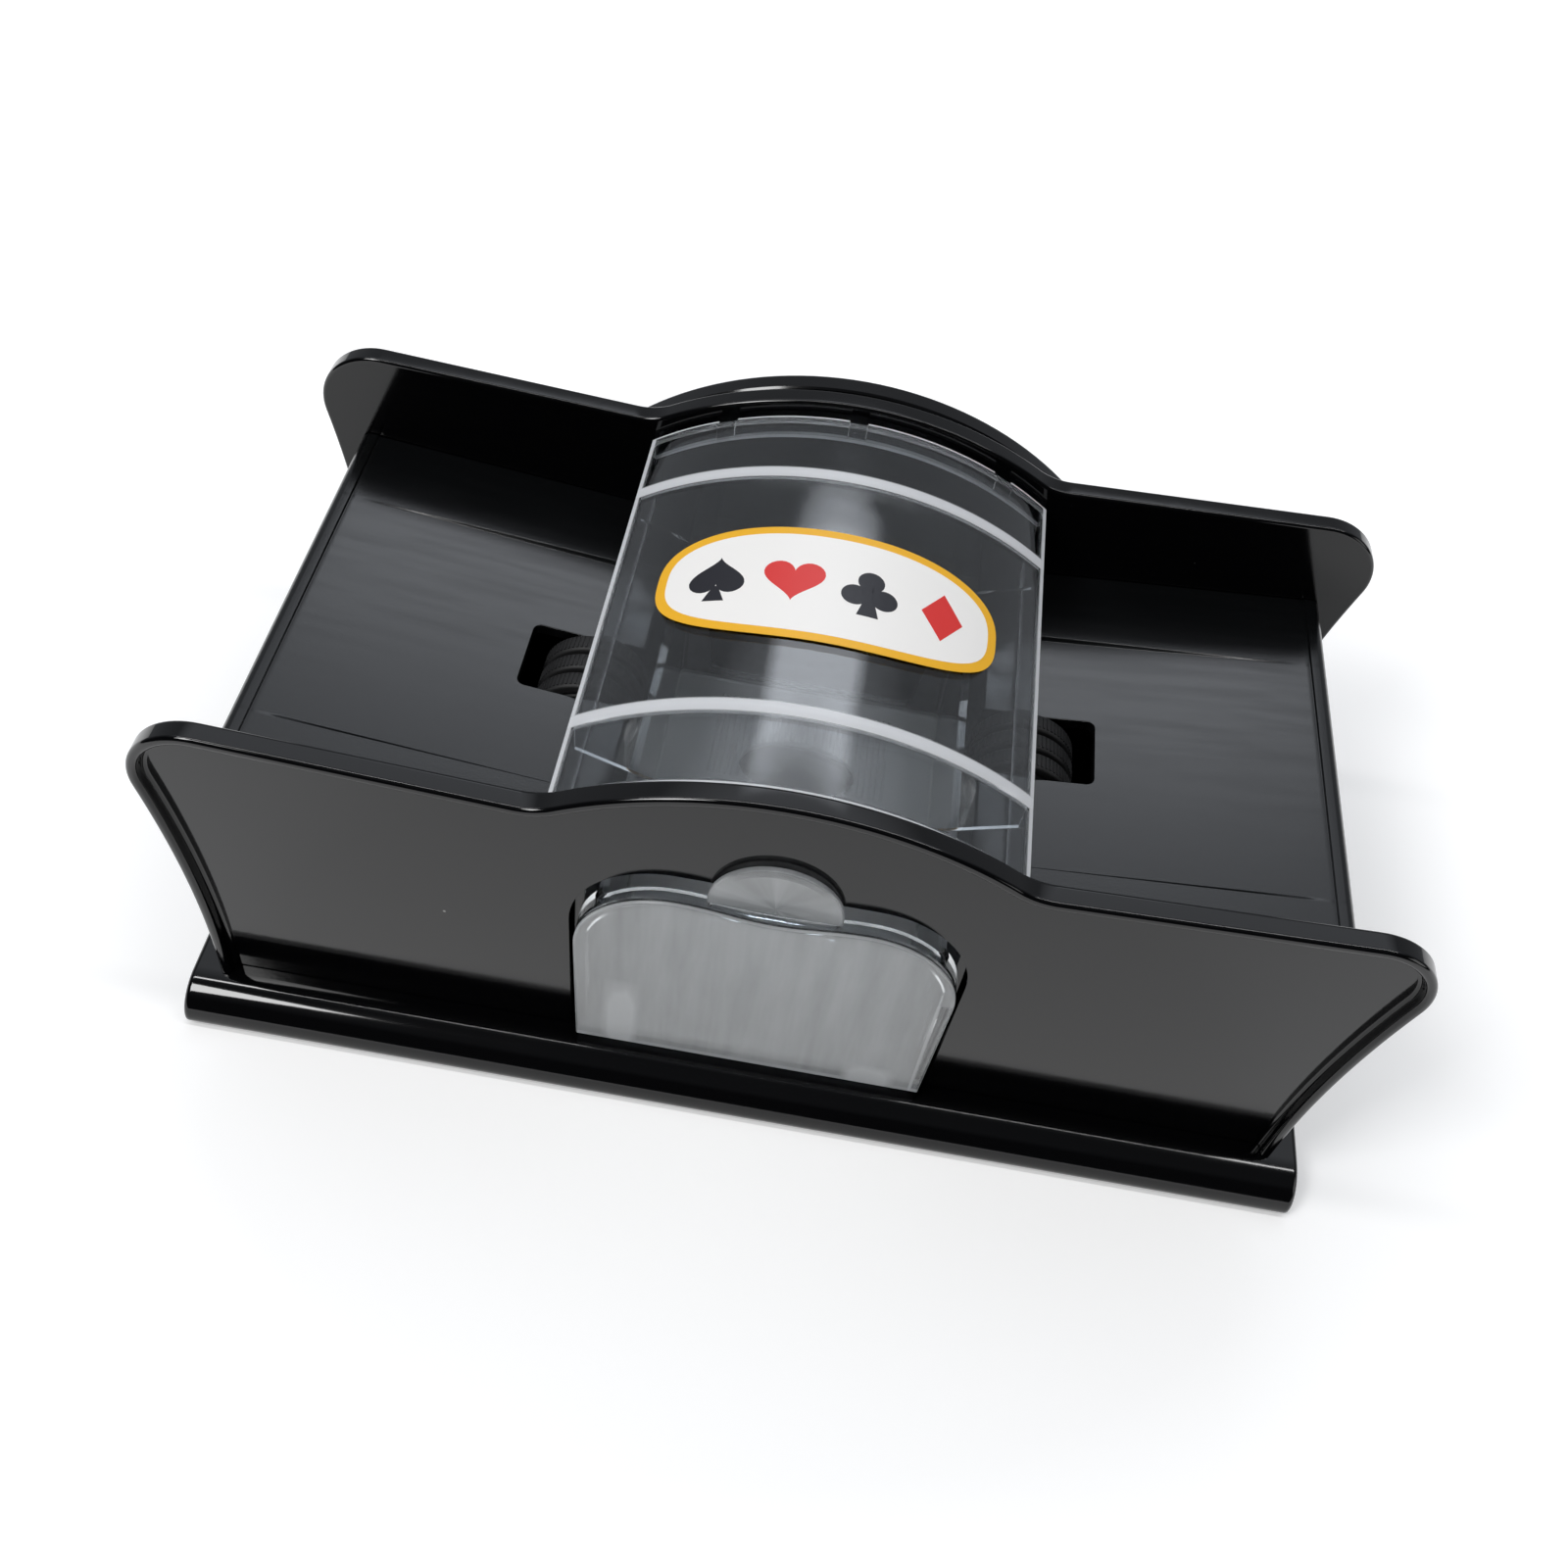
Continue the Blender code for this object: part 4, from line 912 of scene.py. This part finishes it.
def groove_tree():
    """Parallel V-shaped cutters, side by side along X."""
    tree, given, out = geometry_tree("floor_grooves", {"Count": 30, "Pitch": 0.0014, "Length": 0.026,
                                                       "Width": 0.0007})
    step = node(tree, "ShaderNodeCombineXYZ", {"X": given.outputs["Pitch"]})
    row = node(tree, "GeometryNodeMeshLine", {"Count": given.outputs["Count"], "Offset": step.outputs[0]})
    size = node(tree, "ShaderNodeCombineXYZ", {"X": given.outputs["Width"], "Y": given.outputs["Length"],
                "Z": given.outputs["Width"]})
    bar = node(tree, "GeometryNodeMeshCube", {"Size": size.outputs[0]})
    upright = node(tree, "GeometryNodeTransform", {"Geometry": bar.outputs["Mesh"],
                   "Rotation": (0.0, math.radians(45), 0.0)})
    bars = node(tree, "GeometryNodeInstanceOnPoints", {"Points": row.outputs["Mesh"],
                "Instance": upright.outputs["Geometry"]})
    return realised(tree, bars, DRAWER_CLEAR, out)


GROOVES, GROOVE_PITCH = 31, 1.4
grooves = grown("grooves", groove_tree(), Count=GROOVES, Pitch=GROOVE_PITCH * MM, Length=25.0 * MM,
                Width=0.7 * MM)
moved(grooves, Matrix.Translation(Vector((-GROOVE_PITCH * (GROOVES - 1) / 2, 29.0, FLOOR_FACE)) * MM))
combine(drawer, grooves)


def tab_outline(inset):
    """Upper part of a disc, in (x, z)."""
    half = TAB_R - inset
    low = math.degrees(math.asin(-4.5 / half))
    return arc(0, TAB_Z, half, low, 180 - low, 40)


tab = slab("thumb_tab", tab_outline, [(0.3, TAB_Y - 0.65), (0, TAB_Y - 0.35), (0, TAB_Y + 0.35),
                                      (0.3, TAB_Y + 0.65)])
bowl = [(DISH_R * k / 8, DISH_DEEP * (k / 8) ** 2) for k in range(1, 9)]
dish = turned("dish", [(0, 0), *bowl, (DISH_R, 4), (0, 4)], None, 64)
on_tab = Matrix.Translation(Vector((0, TAB_Y - 0.65 + DISH_DEEP, TAB_Z)) * MM)
combine(tab, moved(dish, on_tab @ Matrix.Rotation(math.pi / 2, 4, "X")))
lean = Matrix.Identity(4)
lean[1][2], lean[1][3] = -TAB_LEAN, TAB_LEAN * 70.0 * MM
combine(drawer, moved(tab, lean), "UNION")
hand_over(eased(drawer, 0.25, 2, 50), "drawer", "clear_plastic", "card_drawer")


# ---- clear hood ----
# An arched clear polystyrene moulding that clips between the plates. Two cross ribs stiffen it and a flange
# runs round each end;
# milky bands over the ribs and along the edges are painted highlights. Cards enter under its side walls.
HOOD_X, HOOD_EAVE, HOOD_CREST, HOOD_WALL = 44.3, 81.0, 95.6, 1.8
HOOD_Y, RIB_Y, HOOD_FOOT = 51.8, 33.1, 61.3
HOOD_RISE = HOOD_CREST - HOOD_EAVE
HOOD_R = (HOOD_X ** 2 + HOOD_RISE ** 2) / (2 * HOOD_RISE)
HOOD_CENTRE = HOOD_CREST - HOOD_R


def roof(depth, steps=64):
    """The roof's arc at a depth below its outer face, right to left, in (x, z)."""
    radius = HOOD_R - depth
    edge = math.degrees(math.acos((HOOD_X - max(depth, 0)) / radius))
    return arc(0, HOOD_CENTRE, radius, edge, 180 - edge, steps)


def hood_section(inset, foot=HOOD_FOOT):
    half = HOOD_X - inset
    return [(half, foot), *roof(inset), (-half, foot)]


def hood_haze(tree, place, spot):
    """Milky bands painted as highlights: over the two ribs, along the eaves and the side walls' feet, and round
    the end flanges.
    """
    x = chained(tree, "ABSOLUTE", spot.outputs["X"], 0.0)
    y = chained(tree, "ABSOLUTE", spot.outputs["Y"], 0.0)
    z = spot.outputs["Z"]
    rise = chained(tree, "SUBTRACT", z, HOOD_CENTRE * MM)
    from_axis = node(tree, "ShaderNodeCombineXYZ", {"X": x, "Y": rise}).outputs[0]
    radius = node(tree, "ShaderNodeVectorMath", {0: from_axis}, operation="LENGTH").outputs["Value"]
    skin = between(tree, radius, (HOOD_R - 2.0) * MM, 1.0, 0.0003)
    # Painted highlight: a milky band in the roof over each rib.
    rib_highlight = product(tree, skin, 0.92,
                  between(tree, y, (RIB_Y - 1.3) * MM, (RIB_Y + 1.3) * MM, 0.0005))
    # Painted highlights: milky lines along the eaves and along the side walls' feet.
    eave_highlight = product(tree, between(tree, x, (HOOD_X - 0.7) * MM, 1.0, 0.0003),
                   between(tree, z, 0.0785, 0.2, 0.0006), 0.85)
    foot = product(tree, between(tree, x, (HOOD_X - 2.2) * MM, 1.0, 0.0001),
                   between(tree, z, 0.0, 0.0642, 0.0004), 0.85)
    # Painted highlights: milky lines round the end flanges' edges.
    outer = between(tree, radius, (HOOD_R - 0.6) * MM, 1.0, 0.0002)
    under = between(tree, radius, (HOOD_R - 5.6) * MM, (HOOD_R - 4.7) * MM, 0.0003)
    end_face = between(tree, y, (HOOD_Y - 0.35) * MM, 1.0, 0.0002)
    flange = product(tree, between(tree, y, (HOOD_Y - 1.7) * MM, 1.0, 0.0001), under, 0.7)
    painted_edge_highlight = product(tree, end_face, outer, 0.8)
    return chained(tree, "MAXIMUM", rib_highlight, eave_highlight, foot, flange, painted_edge_highlight)


HOOD_CLEAR = clear_styrene("clear_hood_styrene", hood_haze, "f2f4f7")
hood = slab("clear_hood", hood_section, [(0, -HOOD_Y), (0, HOOD_Y)], HOOD_CLEAR)
cut(hood, lambda inset: hood_section(HOOD_WALL, 50.0), [(0, -60), (0, 60)])
half_wall = HOOD_X - HOOD_WALL / 2
web = [*roof(HOOD_WALL / 2, 40), (-half_wall, 74.0), (-18.0, 64.5), (18.0, 64.5), (half_wall, 74.0)]
under = roof(HOOD_WALL / 2, 40)
flange = [*under, *[(x * 0.985, z - 4.6) for x, z in reversed(under)]]
for y in (-RIB_Y, RIB_Y):
    add(hood, lambda inset: web, [(0, y - 0.8), (0, y + 0.8)])
for y in (-HOOD_Y, HOOD_Y - 1.6):
    add(hood, lambda inset: flange, [(0, y), (0, y + 1.6)])
cut(hood, rounded_box((-60, -45.5), (60, 45.5), 1.0, 2), [(0, 50), (0, 63.8)], "Z")
for x in (-28.0, 0.0, 33.0):
    notch_box = rounded_box((x - 2.0, HOOD_Y - 0.6), (x + 2.0, HOOD_Y + 2), 0.2, 1)
    cut(hood, notch_box, [(0, 80), (0, 100)], "Z")
hand_over(eased(hood, 0.3, 3, 50), "hood", "clear_plastic", "hood")


# ---- label on the hood ----
# A printed vinyl badge stuck on the roof: a white field with the four card suits in a gold border.
# The print is a plain design, with no lettering.
def printed_vinyl(name, colour):
    """Ink on coated vinyl: even colour, half gloss, a very fine print grain."""
    made, tree, place = finish(name)
    spread = ranged(tree, noise(tree, place, 1500.0, 2.0), 0.0, 1.0, 0.28, 0.42)
    return coated(made, principled(tree, linear(colour), spread, IOR=1.5))


LABEL_X, LABEL_Y = 35.0, 15.5
LABEL_RISE = 0.3  # from the roof to the underside of the label


def badge_outline(inset):
    """A stretched oval with flattened sides, in (x, y)."""
    power = 0.72
    points = []
    for i in range(96):
        t = 2 * math.pi * i / 96
        c, s = math.cos(t), math.sin(t)
        points.append(((LABEL_X - inset) * math.copysign(abs(c) ** power, c),
                       (LABEL_Y - inset) * math.copysign(abs(s) ** power, s)))
    return points


def heart(size):
    """The usual heart curve."""
    turn = [2 * math.pi * i / 48 for i in range(48)]
    spots = [(16 * math.sin(t) ** 3,
              13 * math.cos(t) - 5 * math.cos(2 * t) - 2 * math.cos(3 * t) - math.cos(4 * t)) for t in turn]
    return [(x * size / 17, (y + 2) * size / 17) for x, y in spots]


def stalk(size, top):
    """The foot that a spade and a club stand on."""
    return [(-0.34 * size, -1.0 * size), (0.34 * size, -1.0 * size), (0.07 * size, top), (-0.07 * size, top)]


def spade(size):
    return [[(x, -y + 0.12 * size) for x, y in heart(size * 0.92)], stalk(size, -0.35 * size)]


def club(size):
    lobe = 0.42 * size
    discs = [circle(u * size, v * size, lobe, 28)(0) for u, v in ((0, 0.48), (-0.46, -0.18), (0.46, -0.18))]
    heart_of_it = circle(0, 0.05 * size, 0.26 * size, 16)(0)
    return [*discs, heart_of_it, stalk(size, 0.0)]


def diamond(size):
    return [[(0, -size), (0.7 * size, 0), (0, size), (-0.7 * size, 0)]]


def wrapped(name, outlines, low, high, surface, middle=(0, 0)):
    """Flat shapes laid on the roof: sliced crosswise so that they bend, then given a thickness."""
    build = bmesh.new()
    for outline in outlines:
        build.faces.new([build.verts.new((x + middle[0], y + middle[1], 0)) for x, y in outline])
    for x in range(-40, 41, 2):
        everything = build.verts[:] + build.edges[:] + build.faces[:]
        bmesh.ops.bisect_plane(build, geom=everything, plane_co=(x, 0, 0), plane_no=(1, 0, 0))
    for face in build.faces:
        if face.normal.z < 0:
            face.normal_flip()
    top = build.faces[:]
    grown_faces = bmesh.ops.extrude_face_region(build, geom=top)
    lifted = [e for e in grown_faces["geom"] if isinstance(e, bmesh.types.BMVert)]
    bmesh.ops.translate(build, verts=lifted, vec=(0, 0, 1))
    for vert in build.verts:
        radius = HOOD_R + (high if vert.co.z > 0.5 else low)
        turn = vert.co.x / HOOD_R
        vert.co = Vector((radius * math.sin(turn), vert.co.y, HOOD_CENTRE + radius * math.cos(turn))) * MM
    bmesh.ops.recalc_face_normals(build, faces=build.faces)
    return smoothed(built(name, build, surface), 30)


RED_INK = printed_vinyl("red_ink_on_vinyl", "d8322f")
BLACK_INK = printed_vinyl("black_ink_on_vinyl", "1d1d24")
GOLD_INK = printed_vinyl("gold_ink_on_vinyl", "efb321")
FIELD, PRINT = 0.12, 0.03
label = wrapped("badge_border", [badge_outline(0)], LABEL_RISE, LABEL_RISE + FIELD, GOLD_INK)
hand_over(label, "hood", "printed_label", "hood_label")
sheets = [("badge_field", [badge_outline(2.0)], printed_vinyl("white_coated_vinyl", "f3f1ee"), (0, 0), 1)]
PIP, PIP_PITCH = 6.4, 15.0
PIPS = ((spade(PIP), BLACK_INK), ([heart(PIP)], RED_INK), (club(PIP), BLACK_INK), (diamond(PIP), RED_INK))
for number, (shape, ink) in enumerate(PIPS):
    sheets.append((f"badge_pip_{number + 1}", shape, ink, ((number - 1.5) * PIP_PITCH, 0), 2))
for name, shape, ink, middle, layer in sheets:
    base_height = LABEL_RISE + FIELD + PRINT * (layer - 1)
    printed = wrapped(name, shape, base_height, base_height + PRINT, ink, middle)
    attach(printed, "hood")
